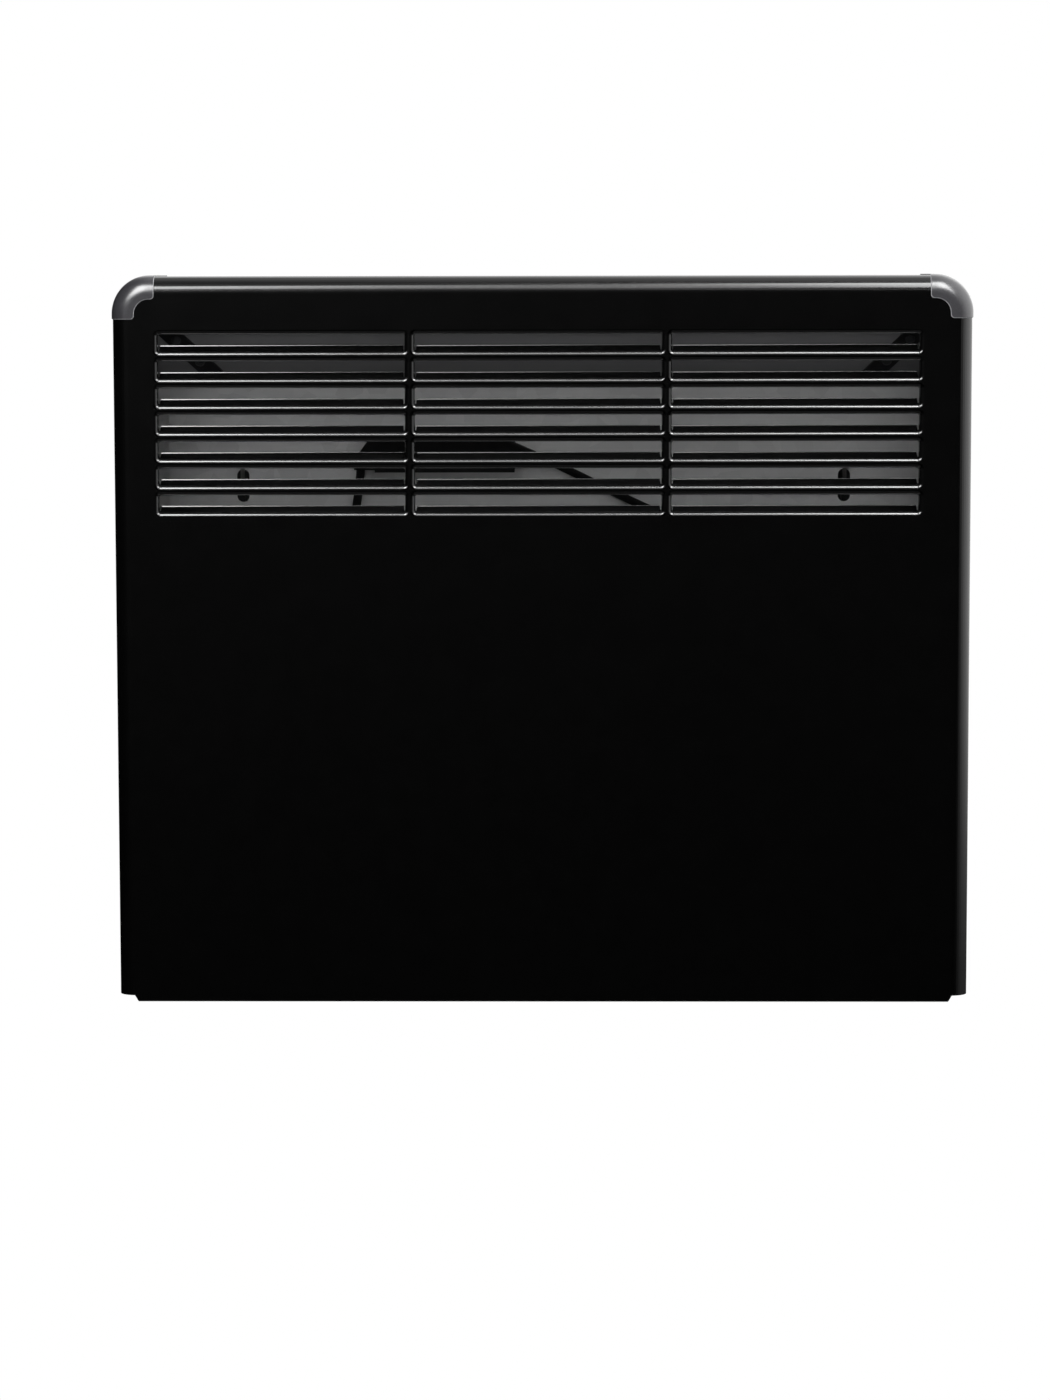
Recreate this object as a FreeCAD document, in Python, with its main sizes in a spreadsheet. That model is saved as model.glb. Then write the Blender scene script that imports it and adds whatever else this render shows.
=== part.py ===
import FreeCAD, Part
import math
import os
from types import SimpleNamespace

import Sketcher

# A wall-hung convector heater. X runs to the right, Y from the front to the wall, Z up, in millimetres.
# The origin is on the wall, at the middle of the wall bracket's screw row.

SIZES = {
    # Casing: one folded sheet
    "casing_width": 451,
    "casing_height": 384,
    "casing_depth": 75,
    "wall_gap": 10,
    "sheet_gauge": 0.8,
    "edge_radius": 9,
    "return_width": 12,
    "return_radius": 2,
    "corner_radius": 19.7,
    "lower_lip_drop": 3.4,
    "lower_lip_inset": 8.4,
    "lower_lip_slant": 2,
    "lower_flange_depth": 16,
    # Outlet grille pressed into the casing
    "grille_columns": 3,
    "grille_rows": 7,
    "grille_drop": 30.3,
    "grille_left_margin": 24.1,
    "grille_right_margin": 28,
    "slot_opening": 8.7,
    "slot_bar": 5.35,
    "slot_side_bar": 5.35,
    "slot_corner": 1.5,
    "rim_depth": 3.1,
    "rim_radius": 2.5,
    "lip_rise": 2.9,
    "lip_edge": 0.5,
    "lip_reach": 4.5,
    "lip_lean": 0.18,
    "lip_inset": 0.5,
    "lip_taper": 0.3,
    # Corner caps and their straps
    "cap_cover": 11.6,
    "cap_corner": 1.8,
    "cap_end": 2.5,
    "cap_proud": 0.6,
    "cap_wall": 2,
    "cap_gap": 0.15,
    "strap_width": 13,
    "strap_gauge": 1.5,
    "strap_spread": 37,
    "strap_foot_inset": 52.2,
    "strap_lift": 2.4,
    # Rear panel and deflector
    "rear_gauge": 0.8,
    "rear_recess": 7,
    "rear_flange": 20,
    "rear_side_gap": 2,
    "rear_top_gap": 1,
    "rear_bottom_gap": 20,
    "rear_screw_inset": 14,
    "deflector_gauge": 0.6,
    "deflector_foot": 10,
    "deflector_drop": 57,
    "deflector_reach": 42,
    "deflector_flange": 10,
    "deflector_side_gap": 12,
    "deflector_nip": 14,
    # Wall bracket and its hooks
    "hook_spacing": 325,
    "hook_gauge": 2,
    "hook_neck": 7,
    "hook_rise": 5,
    "hook_tip": 4,
    "hook_play": 1.2,
    "hang_clearance": 0.2,
    "bracket_height": 40,
    "bracket_tail": 14,
    "hook_slot_width": 6.7,
    "hook_slot_height": 17.6,
    "hook_slot_corner": 3.3,
    "hook_slot_drop": 112.85,
    "wall_hole_spacing": 260,
    "wall_hole_radius": 3,
    # Heating element
    "element_side_gap": 60.5,
    "element_height": 90,
    "element_core_radius": 7,
    "fin_span": 27,
    "fin_gauge": 2.4,
    "fin_tab": 30,
    "fin_slit_width": 3,
    "insulator_radius": 8,
    "insulator_collar_radius": 12,
    "insulator_collar": 6,
    "insulator_neck": 8,
    "terminal_radius": 2.3,
    "terminal_reach": 11,
    "seat_clearance": 0.2,
    "bracket_gauge": 1.2,
    "bracket_foot": 15,
    "bracket_arm_height": 34,
    # Overheat cut-out and its clip
    "cutout_length": 97.8,
    "cutout_height": 17.1,
    "cutout_depth": 10,
    "cutout_left": -101.8,
    "cutout_drop": 86.8,
    "cutout_taper": 17,
    "cutout_taper_fall": 7.4,
    "cutout_end_rise": 4.275,
    "cutout_shoulder": 8.4,
    "cutout_shoulder_fall": 11.6,
    "cutout_edge": 2,
    "clip_gauge": 1.2,
    "clip_lip": 2.2,
    "clip_inset": 11.3,
    "clip_stand": 4,
    "clip_back_drop": 2,
    # Controls in the right side wall
    "control_drop": 205,
    "control_setback": 24,
    "tub_width": 36,
    "tub_height": 104,
    "tub_depth": 13,
    "tub_wall": 1.8,
    "bezel_rim": 2.2,
    "bezel_gauge": 1.2,
    "bezel_corner": 5,
    "knob_top_gap": 30,
    "knob_radius": 12.5,
    "knob_proud": 0.8,
    "knob_floor_gap": 0.5,
    "knob_grip": 5,
    "knob_grip_corner": 2.2,
    "shaft_radius": 3,
    "shaft_seat": 8,
    "running_clearance": 0.05,
    "thermostat_width": 28,
    "thermostat_height": 32,
    "thermostat_depth": 20,
    "bush_radius": 4.5,
    "switch_bottom_gap": 24,
    "switch_width": 13,
    "switch_height": 19,
    "switch_depth": 14,
    "switch_rim": 1.2,
    "rocker_width": 9,
    "rocker_length": 15,
    "rocker_root": 9,
    "rocker_tilt": 8,
    "rocker_depth": 5,
    "cradle_gap": 2,
    "pivot_radius": 1.2,
    "pivot_reach": 1,
    "lens_radius": 2.5,
    # Mains connection
    "block_width": 38,
    "block_height": 18,
    "block_depth": 15,
    "block_side_gap": 22.7,
    "block_lift": 52,
    "block_base": 2,
    "pole_width": 7.4,
    "pole_radius": 2.4,
    "inlet_lift": 24,
    "inlet_reach": 30,
    "inlet_width": 30,
    "inlet_foot": 14,
    "gland_bore_radius": 4,
    "gland_neck_radius": 6,
    "gland_collar": 3,
    "gland_collar_radius": 9,
    "earth_side_gap": 66.7,
    "earth_lift": 56,
    "stud_radius": 2,
    "stud_length": 12,
    "nut_half_width": 3.6,
    "nut_height": 3.2,
    # Leads, spacers and screws
    "lead_radius": 1.6,
    "lead_inset": 1.8,
    "lead_stub": 4,
    "lead_bow": 12,
    "lead_fall": 56,
    "lead_rise": 42,
    "lead_exit": 3,
    "lead_run": 56,
    "lead_sink": 26.4,
    "lead_entry": 18,
    "lead_entry_rise": 6,
    "wire_radius": 1.4,
    "wire_seat": 4,
    "wire_exit": 10,
    "wire_rise": 40,
    "wire_entry": 16,
    "spacer_radius": 5.6,
    "spacer_peg_radius": 2.5,
    "spacer_lift": 62,
    "screw_radius": 2,
    "screw_length": 4,
    "screw_head_radius": 3.6,
    "screw_head": 2,
    "screw_clearance": 0.1,
}

# A pattern's step with this value takes the pattern's own spacing
EVEN_STEP = -1.0
# Flats round a wire
WIRE_SIDES = 8
# Share of a wire's shorter run that a bend takes
BEND_SHARE = 0.45
# Poles of the terminal block
POLES = 3
# Depth of a cut that goes right through, as a multiple of what it goes through
THROUGH = 4
# Room in millimetres for comparing places
NEAR = 1e-4

doc = FreeCAD.newDocument("panel_heater")
sub_parts = []


class Size:
    """A length with its value and the expression that ties it to the sheet."""

    def __init__(self, value, text=None):
        self.value = float(value)
        self.text = text or repr(float(value))

    def __add__(self, other):
        other = as_size(other)
        return Size(self.value + other.value, f"({self.text} + {other.text})")

    def __sub__(self, other):
        other = as_size(other)
        return Size(self.value - other.value, f"({self.text} - {other.text})")

    def __mul__(self, other):
        other = as_size(other)
        return Size(self.value * other.value, f"({self.text} * {other.text})")

    def __truediv__(self, other):
        other = as_size(other)
        return Size(self.value / other.value, f"({self.text} / {other.text})")

    def __radd__(self, other):
        return as_size(other) + self

    def __rsub__(self, other):
        return as_size(other) - self

    def __rmul__(self, other):
        return as_size(other) * self

    def __neg__(self):
        return as_size(0) - self


def as_size(number):
    return number if isinstance(number, Size) else Size(number)


def root(size):
    return Size(math.sqrt(size.value), f"sqrt({size.text})")


def make_sheet():
    sheet = doc.addObject("Spreadsheet::Sheet", "sizes")
    for row, (name, number) in enumerate(SIZES.items(), start=1):
        sheet.set(f"A{row}", name)
        sheet.set(f"B{row}", str(number))
        sheet.setAlias(f"B{row}", name)
    doc.recompute()
    return SimpleNamespace(**{name: Size(sheet.get(name), f"sizes.{name}") for name in SIZES})


dim = make_sheet()

# Planes and lines that several pieces share
half_width = dim.casing_width / 2
front = -(dim.casing_depth + dim.wall_gap)
back = -dim.wall_gap
slot_top = dim.hook_neck / 2 + dim.hang_clearance
slot_middle = slot_top - dim.hook_slot_height / 2
top = slot_middle + dim.hook_slot_drop
bottom = top - dim.casing_height
cap_line = dim.corner_radius + dim.cap_end
flat_line = dim.corner_radius - dim.edge_radius
rear_back = back - dim.rear_recess
rear_front = rear_back - dim.rear_gauge
flange_front = back - dim.sheet_gauge - dim.rear_gauge
rear_edge = half_width - dim.sheet_gauge - dim.rear_side_gap
rear_web = rear_edge - dim.rear_flange
rear_top = top - cap_line - dim.rear_top_gap
rear_bottom = bottom + dim.rear_bottom_gap
screw_hole = dim.screw_radius + dim.screw_clearance
slot_length = (dim.casing_width - dim.grille_left_margin - dim.grille_right_margin
               - dim.slot_side_bar * (dim.grille_columns - 1)) / dim.grille_columns
column_pitch = slot_length + dim.slot_side_bar
row_pitch = dim.slot_opening + dim.slot_bar
element_y = (rear_front + front) / 2
element_z = bottom + dim.element_height
element_length = dim.casing_width - 2 * dim.element_side_gap
element_end = element_length / 2
fin_pitch = dim.fin_tab + dim.fin_slit_width
bracket_inside = element_end + dim.insulator_collar
cutout_bottom = top - dim.cutout_drop - dim.cutout_height
cutout_back = rear_front - dim.clip_stand
cutout_front = cutout_back - dim.cutout_depth
cutout_right = dim.cutout_left + dim.cutout_length
cutout_end_low = cutout_bottom + dim.cutout_end_rise
cutout_end_high = cutout_bottom + dim.cutout_height - dim.cutout_taper_fall
clip_left = dim.cutout_left + dim.clip_inset
clip_length = dim.cutout_length - 2 * dim.clip_inset
control_y = back - dim.control_setback
control_z = top - dim.control_drop
knob_z = control_z + dim.tub_height / 2 - dim.knob_top_gap
switch_z = control_z - dim.tub_height / 2 + dim.switch_bottom_gap
switch_top = switch_z + dim.switch_height / 2 + dim.switch_rim
lens_z = (knob_z - dim.knob_radius + switch_top) / 2
tub_floor = half_width - dim.tub_depth
floor_back = tub_floor - dim.tub_wall
knob_base = tub_floor + dim.knob_floor_gap
block_x = rear_web - dim.block_side_gap
block_z = bottom + dim.block_lift
inlet_z = bottom + dim.inlet_lift
inlet_y = rear_front - dim.inlet_reach / 2
earth_x = rear_web - dim.earth_side_gap
earth_z = bottom + dim.earth_lift


def new_body(label):
    body = doc.addObject("PartDesign::Body", label)
    body.Label = label
    body.AllowCompound = True
    sub_parts.append(body)
    return body


def origin_item(body, role):
    return next(item for item in body.Origin.OriginFeatures if item.Role == role)


def tie(item, path, size):
    if "sizes." in size.text:
        item.setExpression(path, size.text)


def sketch_on(body, plane, height=0, at=(0, 0)):
    """A sketch on one of the body's origin planes, raised along its normal and moved to a point of it."""
    sketch = body.newObject("Sketcher::SketchObject", f"{body.Label}_sketch")
    sketch.AttachmentSupport = [(origin_item(body, plane), "")]
    sketch.MapMode = "FlatFace"
    offset = [as_size(at[0]), as_size(at[1]), as_size(height)]
    base = FreeCAD.Vector(*[size.value for size in offset])
    sketch.AttachmentOffset = FreeCAD.Placement(base, FreeCAD.Rotation())
    for axis, size in zip("xyz", offset):
        tie(sketch, f"AttachmentOffset.Base.{axis}", size)
    return sketch


def constrain(sketch, rules):
    """Adds each (kind, geometry, point, size) rule, tied to the sheet."""
    rules = [(kind, geometry, point, as_size(size)) for kind, geometry, point, size in rules]
    made = sketch.addConstraint([Sketcher.Constraint(kind, -1, 1, geometry, point, size.value)
                                 for kind, geometry, point, size in rules])
    for index, (kind, geometry, point, size) in zip(made, rules):
        tie(sketch, f"Constraints[{index}]", size)


def direction(start, end):
    """Unit step from one corner to the next along X or Y."""
    step = [end[0].value - start[0].value, end[1].value - start[1].value]
    return [0 if abs(part) < NEAR else int(math.copysign(1, part)) for part in step]


def outline(sketch, corners):
    """A closed outline. A third value rounds a corner to that radius; its two sides run along X and Y."""
    corners = [[as_size(part) for part in corner] for corner in corners]
    count = len(corners)
    entries, exits, arcs = [], [], {}
    for index, corner in enumerate(corners):
        if len(corner) == 2:
            entries.append(corner)
            exits.append(corner)
            continue
        radius = corner[2]
        before = direction(corner, corners[index - 1])
        after = direction(corner, corners[(index + 1) % count])
        entries.append([corner[axis] + radius * before[axis] for axis in (0, 1)])
        exits.append([corner[axis] + radius * after[axis] for axis in (0, 1)])
        centre = [corner[axis] + radius * (before[axis] + after[axis]) for axis in (0, 1)]
        turns_left = before[1] * after[0] - before[0] * after[1] > 0
        arcs[index] = SimpleNamespace(centre=centre, radius=radius, after=after, left=turns_left)
    first = sketch.GeometryCount
    sketch.addGeometry([Part.LineSegment(spot(exits[index]), spot(entries[(index + 1) % count]))
                        for index in range(count)], False)
    joins, rules = [], []
    for index in range(count):
        line, line_before = first + index, first + (index - 1) % count
        if index not in arcs:
            joins.append(Sketcher.Constraint("Coincident", line_before, 2, line, 1))
            rules += [("DistanceX", line, 1, exits[index][0]), ("DistanceY", line, 1, exits[index][1])]
            continue
        arc = arcs[index]
        number = sketch.addGeometry(corner_arc(arc, entries[index], exits[index]), False)
        joins.append(Sketcher.Constraint("Coincident", line_before, 2, number, 1 if arc.left else 2))
        joins.append(Sketcher.Constraint("Coincident", number, 2 if arc.left else 1, line, 1))
        rules += [("DistanceX", number, 3, arc.centre[0]), ("DistanceY", number, 3, arc.centre[1])]
        rules += [("DistanceX", line_before, 2, entries[index][0]),
                  ("DistanceY", line_before, 2, entries[index][1])]
        along = 0 if arc.after[0] else 1
        rules.append(("DistanceX" if along == 0 else "DistanceY", line, 1, exits[index][along]))
    sketch.addConstraint(joins)
    constrain(sketch, rules)
    return sketch


def spot(pair):
    return FreeCAD.Vector(pair[0].value, pair[1].value, 0)


def corner_arc(arc, entry, leave):
    start, end = (entry, leave) if arc.left else (leave, entry)
    angles = [math.atan2(point[1].value - arc.centre[1].value, point[0].value - arc.centre[0].value)
              for point in (start, end)]
    circle = Part.Circle(spot(arc.centre), FreeCAD.Vector(0, 0, 1), arc.radius.value)
    return Part.ArcOfCircle(circle, *angles)


def rectangle(sketch, left, low, right, high, radius=None):
    corners = [(left, low), (right, low), (right, high), (left, high)]
    return outline(sketch, [corner if radius is None else (*corner, radius) for corner in corners])


def circle(sketch, across, up, radius):
    across, up = as_size(across), as_size(up)
    number = sketch.addGeometry(Part.Circle(spot((across, up)), FreeCAD.Vector(0, 0, 1), radius.value), False)
    constrain(sketch, [("DistanceX", number, 3, across), ("DistanceY", number, 3, up)])
    index = sketch.addConstraint(Sketcher.Constraint("Radius", number, radius.value))
    tie(sketch, f"Constraints[{index}]", radius)
    return sketch


def grow(body, kind, sketch, length, symmetric=False, reverse=False):
    """A pad or pocket of a sketch."""
    feature = body.newObject(f"PartDesign::{kind}", f"{body.Label}_{kind.lower()}")
    feature.Profile = sketch
    length = as_size(length)
    feature.Length = length.value
    tie(feature, "Length", length)
    feature.SideType = "Symmetric" if symmetric else "One side"
    feature.Reversed = reverse
    return feature


def pad(body, sketch, length, symmetric=False, reverse=False):
    return grow(body, "Pad", sketch, length, symmetric, reverse)


def cut(body, sketch, length):
    """Cuts the same depth to both sides of the sketch."""
    return grow(body, "Pocket", sketch, length, symmetric=True)


def turn(body, sketch, axis, angle=360, reverse=False):
    feature = body.newObject("PartDesign::Revolution", f"{body.Label}_revolution")
    feature.Profile = sketch
    feature.ReferenceAxis = (sketch, [axis])
    feature.Angle = angle
    feature.Reversed = reverse
    return feature


def loft(body, label, profile, sections):
    """Straight walls from a profile through one or more sections."""
    feature = body.newObject("PartDesign::AdditiveLoft", label)
    feature.Profile = profile
    feature.Sections = sections
    feature.Ruled = True
    return feature


def repeat(body, features, axis, pitch, count, axis_2=None, pitch_2=None, count_2=None):
    """Repeats features in a row along one origin axis, or in a grid along two."""
    pattern = body.newObject("PartDesign::LinearPattern", f"{body.Label}_pattern")
    pattern.Originals = features
    pattern.Direction = (origin_item(body, axis), [""])
    pattern.Mode = "Spacing"
    tie(pattern, "Offset", as_size(pitch))
    pattern.Occurrences = round(as_size(count).value)
    if axis_2:
        pattern.Direction2 = (origin_item(body, axis_2), [""])
        pattern.Mode2 = "Spacing"
        tie(pattern, "Offset2", as_size(pitch_2))
        pattern.Occurrences2 = round(as_size(count_2).value)
        pattern.Spacings2 = [EVEN_STEP] * (pattern.Occurrences2 - 1)
    body.Tip = pattern
    return pattern


def mirror(body, features, plane):
    feature = body.newObject("PartDesign::Mirrored", f"{body.Label}_mirror")
    feature.Originals = features
    feature.MirrorPlane = (origin_item(body, plane), [""])
    body.Tip = feature
    return feature


def round_edges(body, radius, chosen):
    """Rounds the edges of the body that the chosen test accepts."""
    doc.recompute()
    base = body.Tip
    names = [f"Edge{number}" for number, edge in enumerate(base.Shape.Edges, start=1) if chosen(edge)]
    feature = body.newObject("PartDesign::Fillet", f"{body.Label}_fillet")
    feature.Base = (base, names)
    feature.Radius = radius.value
    tie(feature, "Radius", radius)
    return feature


def lies_at(edge, axis, size):
    """True for an edge in the plane at that height along x, y or z."""
    box = edge.BoundBox
    low, high = getattr(box, f"{axis.upper()}Min"), getattr(box, f"{axis.upper()}Max")
    return abs(low - size.value) < NEAR and abs(high - size.value) < NEAR


def front_panel():
    body = new_body("front_panel")
    gauge, radius, fold = dim.sheet_gauge, dim.edge_radius, dim.return_radius
    inner_x, inner_y, rear_y = half_width - gauge, front + gauge, back - gauge
    return_x = half_width - dim.return_width
    sides = sketch_on(body, "XY_Plane", bottom + dim.lower_lip_drop)
    outline(sides, [
        (-return_x, back), (-half_width, back, fold), (-half_width, front, radius),
        (half_width, front, radius), (half_width, back, fold), (return_x, back),
        (return_x, rear_y), (inner_x, rear_y, fold - gauge), (inner_x, inner_y, radius - gauge),
        (-inner_x, inner_y, radius - gauge), (-inner_x, rear_y, fold - gauge), (-return_x, rear_y)])
    pad(body, sides, dim.casing_height - dim.lower_lip_drop - cap_line)
    roof = sketch_on(body, "YZ_Plane")
    outline(roof, [
        (front, top - cap_line), (front, top, radius), (back, top, fold), (back, top - dim.return_width),
        (rear_y, top - dim.return_width), (rear_y, top - gauge, fold - gauge),
        (inner_y, top - gauge, radius - gauge), (inner_y, top - cap_line)])
    pad(body, roof, dim.casing_width - 2 * cap_line, symmetric=True)
    face = sketch_on(body, "XZ_Plane", -inner_y)
    flat_x, flat_top = half_width - radius, top - radius
    outline(face, [
        (-flat_x, top - 2 * cap_line), (flat_x, top - 2 * cap_line), (flat_x, flat_top, flat_line),
        (-flat_x, flat_top, flat_line)])
    pad(body, face, gauge)
    lower_lip(body, inner_y)
    grille(body)
    right_wall = sketch_on(body, "YZ_Plane", half_width)
    rectangle(right_wall, control_y - dim.tub_width / 2 - dim.seat_clearance,
              control_z - dim.tub_height / 2 - dim.seat_clearance,
              control_y + dim.tub_width / 2 + dim.seat_clearance,
              control_z + dim.tub_height / 2 + dim.seat_clearance)
    cut(body, right_wall, THROUGH * gauge)
    holes = sketch_on(body, "XZ_Plane", -back)
    for x, z in rear_screw_places():
        circle(holes, x, z, screw_hole)
    for x in (-spacer_x(), spacer_x()):
        circle(holes, x, bottom + dim.spacer_lift, dim.spacer_peg_radius + dim.seat_clearance)
    cut(body, holes, THROUGH * gauge)


def lower_lip(body, inner_y):
    """The front hangs below the side walls in a lip with slanted ends, folded back into a flange."""
    root_x = half_width - dim.lower_lip_inset
    tip_x = root_x - dim.lower_lip_slant
    lip = sketch_on(body, "XZ_Plane", -inner_y)
    rise = bottom + dim.lower_lip_drop
    outline(lip, [(-tip_x, bottom), (tip_x, bottom), (root_x, rise), (-root_x, rise)])
    pad(body, lip, dim.sheet_gauge)
    flange = sketch_on(body, "XY_Plane", bottom)
    rectangle(flange, -tip_x, front, tip_x, front + dim.lower_flange_depth)
    pad(body, flange, dim.sheet_gauge)
    round_edges(body, dim.sheet_gauge, lambda edge: lies_at(edge, "y", front) and lies_at(edge, "z", bottom))


def grille(body):
    """Columns and rows of slots with rolled rims, each with a lip bent in from below and turned up."""
    gauge, rim = dim.sheet_gauge, dim.rim_radius
    left = dim.grille_left_margin - half_width
    right = left + slot_length
    low = top - dim.grille_drop - dim.slot_opening - row_pitch * (dim.grille_rows - 1)
    high = low + dim.slot_opening
    collar = sketch_on(body, "XZ_Plane", -front)
    rectangle(collar, left - rim, low - rim, right + rim, high + rim)
    collar_end = sketch_on(body, "XZ_Plane", -front - dim.rim_depth)
    rectangle(collar_end, left - gauge, low - gauge, right + gauge, high + gauge)
    roll = loft(body, "grille_rim", collar, [collar_end])
    opening = sketch_on(body, "XZ_Plane", -front)
    nip = dim.slot_corner
    outline(opening, [
        (left + nip, low), (right - nip, low), (right, low + nip), (right, high - nip), (right - nip, high),
        (left + nip, high), (left, high - nip), (left, low + nip)])
    slot = cut(body, opening, THROUGH * dim.rim_depth)
    lip_front = front + dim.rim_depth - gauge

    def lip_section(height, near, inset):
        section = sketch_on(body, "XY_Plane", height)
        return rectangle(section, left + inset, near, right - inset, near + gauge)

    knee, tip_inset = lip_front + dim.lip_reach, dim.lip_inset + dim.lip_taper
    lip = loft(body, "grille_lip", lip_section(low - gauge / 2, lip_front, dim.lip_inset), [
        lip_section(low + dim.lip_rise - dim.lip_edge, knee, tip_inset),
        lip_section(low + dim.lip_rise, knee + dim.lip_lean, tip_inset)])
    repeat(body, [roll, slot, lip], "X_Axis", column_pitch, dim.grille_columns,
           "Z_Axis", row_pitch, dim.grille_rows)
    right_end = right + column_pitch * (dim.grille_columns - 1)
    high_end = high + row_pitch * (dim.grille_rows - 1)

    def on_slot(edge):
        box = edge.BoundBox
        inside_x = left.value - NEAR < box.XMin and box.XMax < right_end.value + NEAR
        inside_z = low.value - NEAR < box.ZMin and box.ZMax < high_end.value + NEAR
        return lies_at(edge, "y", front) and inside_x and inside_z

    round_edges(body, rim, on_slot)


def corner_cap(label, side):
    """An elbow over one top corner: the casing's bent edge carried round it, standing a little proud."""
    body = new_body(label)
    outer = dim.corner_radius + dim.cap_proud
    inner = outer - dim.cap_wall
    bend = dim.edge_radius + dim.cap_proud
    face_y = front - dim.cap_proud
    step = flat_line + dim.cap_gap
    section = [
        (dim.corner_radius - dim.cap_cover, face_y), (outer, face_y, bend), (outer, back), (inner, back),
        (inner, face_y + dim.cap_wall, bend - dim.cap_wall - 2 * dim.cap_gap),
        (step, face_y + dim.cap_wall), (step, front), (dim.corner_radius - dim.cap_cover, front)]
    centre_x, centre_z = side * (half_width - dim.corner_radius), top - dim.corner_radius
    upright = sketch_on(body, "XY_Plane", centre_z, (centre_x, 0))
    outline(upright, [(side * corner[0], *corner[1:]) for corner in section])
    turn(body, upright, "V_Axis", 90, reverse=side > 0)
    end = dim.cap_end - dim.cap_gap
    pad(body, upright, end, reverse=True)
    level = sketch_on(body, "YZ_Plane", centre_x, (0, centre_z))
    outline(level, [(corner[1], corner[0], *corner[2:]) for corner in section])
    pad(body, level, end, reverse=side > 0)
    end_x, end_z = centre_x - side * end, centre_z - end

    def on_end(edge):
        box = edge.BoundBox
        thin = abs(box.YMin - face_y.value) < NEAR and abs(box.YMax - front.value) < NEAR
        return thin and (lies_at(edge, "x", end_x) or lies_at(edge, "z", end_z))

    round_edges(body, dim.cap_corner, on_end)


def deflector_slope():
    """Run, rise and length of the deflector's sloped part."""
    run = dim.deflector_reach
    rise = dim.deflector_drop - dim.sheet_gauge
    return run, rise, root(run * run + rise * rise)


def air_deflector():
    body = new_body("air_deflector")
    run, rise, length = deflector_slope()
    gauge = dim.deflector_gauge
    foot_z, roof_z = top - dim.deflector_drop, top - dim.sheet_gauge
    knee_y = rear_front - run
    lower_inset = gauge * run / (length + rise)
    upper_inset = gauge * rise / (length + run)
    section = sketch_on(body, "YZ_Plane")
    outline(section, [
        (rear_front, foot_z - dim.deflector_foot), (rear_front, foot_z), (knee_y, roof_z),
        (knee_y - dim.deflector_flange, roof_z), (knee_y - dim.deflector_flange, roof_z - gauge),
        (knee_y - upper_inset, roof_z - gauge), (rear_front - gauge, foot_z - lower_inset),
        (rear_front - gauge, foot_z - dim.deflector_foot)])
    end_x, nip = half_width - dim.deflector_side_gap, dim.deflector_nip
    pad(body, section, 2 * end_x, symmetric=True)
    corners = sketch_on(body, "XZ_Plane", -knee_y)
    for side in (-1, 1):
        outline(corners, [(side * (end_x - nip), top), (side * end_x, top), (side * end_x, top - nip)])
    cut(body, corners, THROUGH * run)


def on_slope(body):
    """Lays a body's XY plane on the deflector's underside, Y up the slope."""
    run, rise, length = deflector_slope()
    angle = 180 - math.degrees(math.atan2(rise.value, run.value))
    drop = dim.deflector_gauge * length / rise
    foot = FreeCAD.Vector(0, rear_front.value, (top - dim.deflector_drop - drop * rise / run).value)
    body.Placement = FreeCAD.Placement(foot, FreeCAD.Rotation(FreeCAD.Vector(1, 0, 0), angle))


def strap_points(side):
    """Where a strap's foot and head lie across the slope, and where they lie up it."""
    run, rise, length = deflector_slope()
    foot_x = half_width - dim.strap_foot_inset
    head_x = foot_x + dim.strap_spread
    reach = dim.strap_spread * length / rise
    return side * foot_x, side * head_x, dim.strap_lift, dim.strap_lift + reach


def cap_strap(label, side):
    """A flat strap from the foot of the deflector up and out to the corner cap."""
    body = new_body(label)
    foot_x, head_x, start, end = strap_points(side)
    half = dim.strap_width / 2
    shape = sketch_on(body, "XY_Plane")
    outline(shape, [
        (foot_x - half, start), (foot_x + half, start), (head_x + half, end), (head_x - half, end)])
    pad(body, shape, dim.strap_gauge)
    on_slope(body)


def rear_screw_places():
    x = half_width - dim.return_width / 2
    low, high = rear_bottom + dim.rear_screw_inset, rear_top - dim.rear_screw_inset
    return [(side * x, z) for side in (-1, 1) for z in (low, high)]


def element_screw_places():
    x = bracket_inside - dim.bracket_foot / 2
    return [(-x, element_z), (x, element_z)]


def rear_panel():
    """A plate set forward of two side flanges, with upright slots for the wall hooks."""
    body = new_body("rear_panel")
    gauge = dim.rear_gauge
    flange_back = back - dim.sheet_gauge
    web = rear_web - gauge
    section = sketch_on(body, "XY_Plane", rear_bottom)
    outline(section, [
        (-rear_edge, flange_back), (-web, flange_back), (-web, rear_back), (web, rear_back),
        (web, flange_back), (rear_edge, flange_back), (rear_edge, flange_front), (rear_web, flange_front),
        (rear_web, rear_front), (-rear_web, rear_front), (-rear_web, flange_front),
        (-rear_edge, flange_front)])
    pad(body, section, rear_top - rear_bottom)
    slots = sketch_on(body, "XZ_Plane", -rear_back)
    half = dim.hook_slot_width / 2
    for x in (-dim.hook_spacing / 2, dim.hook_spacing / 2):
        rectangle(slots, x - half, slot_middle - dim.hook_slot_height / 2, x + half, slot_top,
                  dim.hook_slot_corner)
    for x, z in element_screw_places():
        circle(slots, x, z, screw_hole)
    circle(slots, earth_x, earth_z, dim.stud_radius + dim.screw_clearance)
    cut(body, slots, THROUGH * gauge)
    holes = sketch_on(body, "XZ_Plane", -flange_back)
    for x, z in rear_screw_places():
        circle(holes, x, z, screw_hole)
    for x in (-spacer_x(), spacer_x()):
        circle(holes, x, bottom + dim.spacer_lift, dim.spacer_peg_radius + dim.seat_clearance)
    cut(body, holes, THROUGH * gauge)


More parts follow.
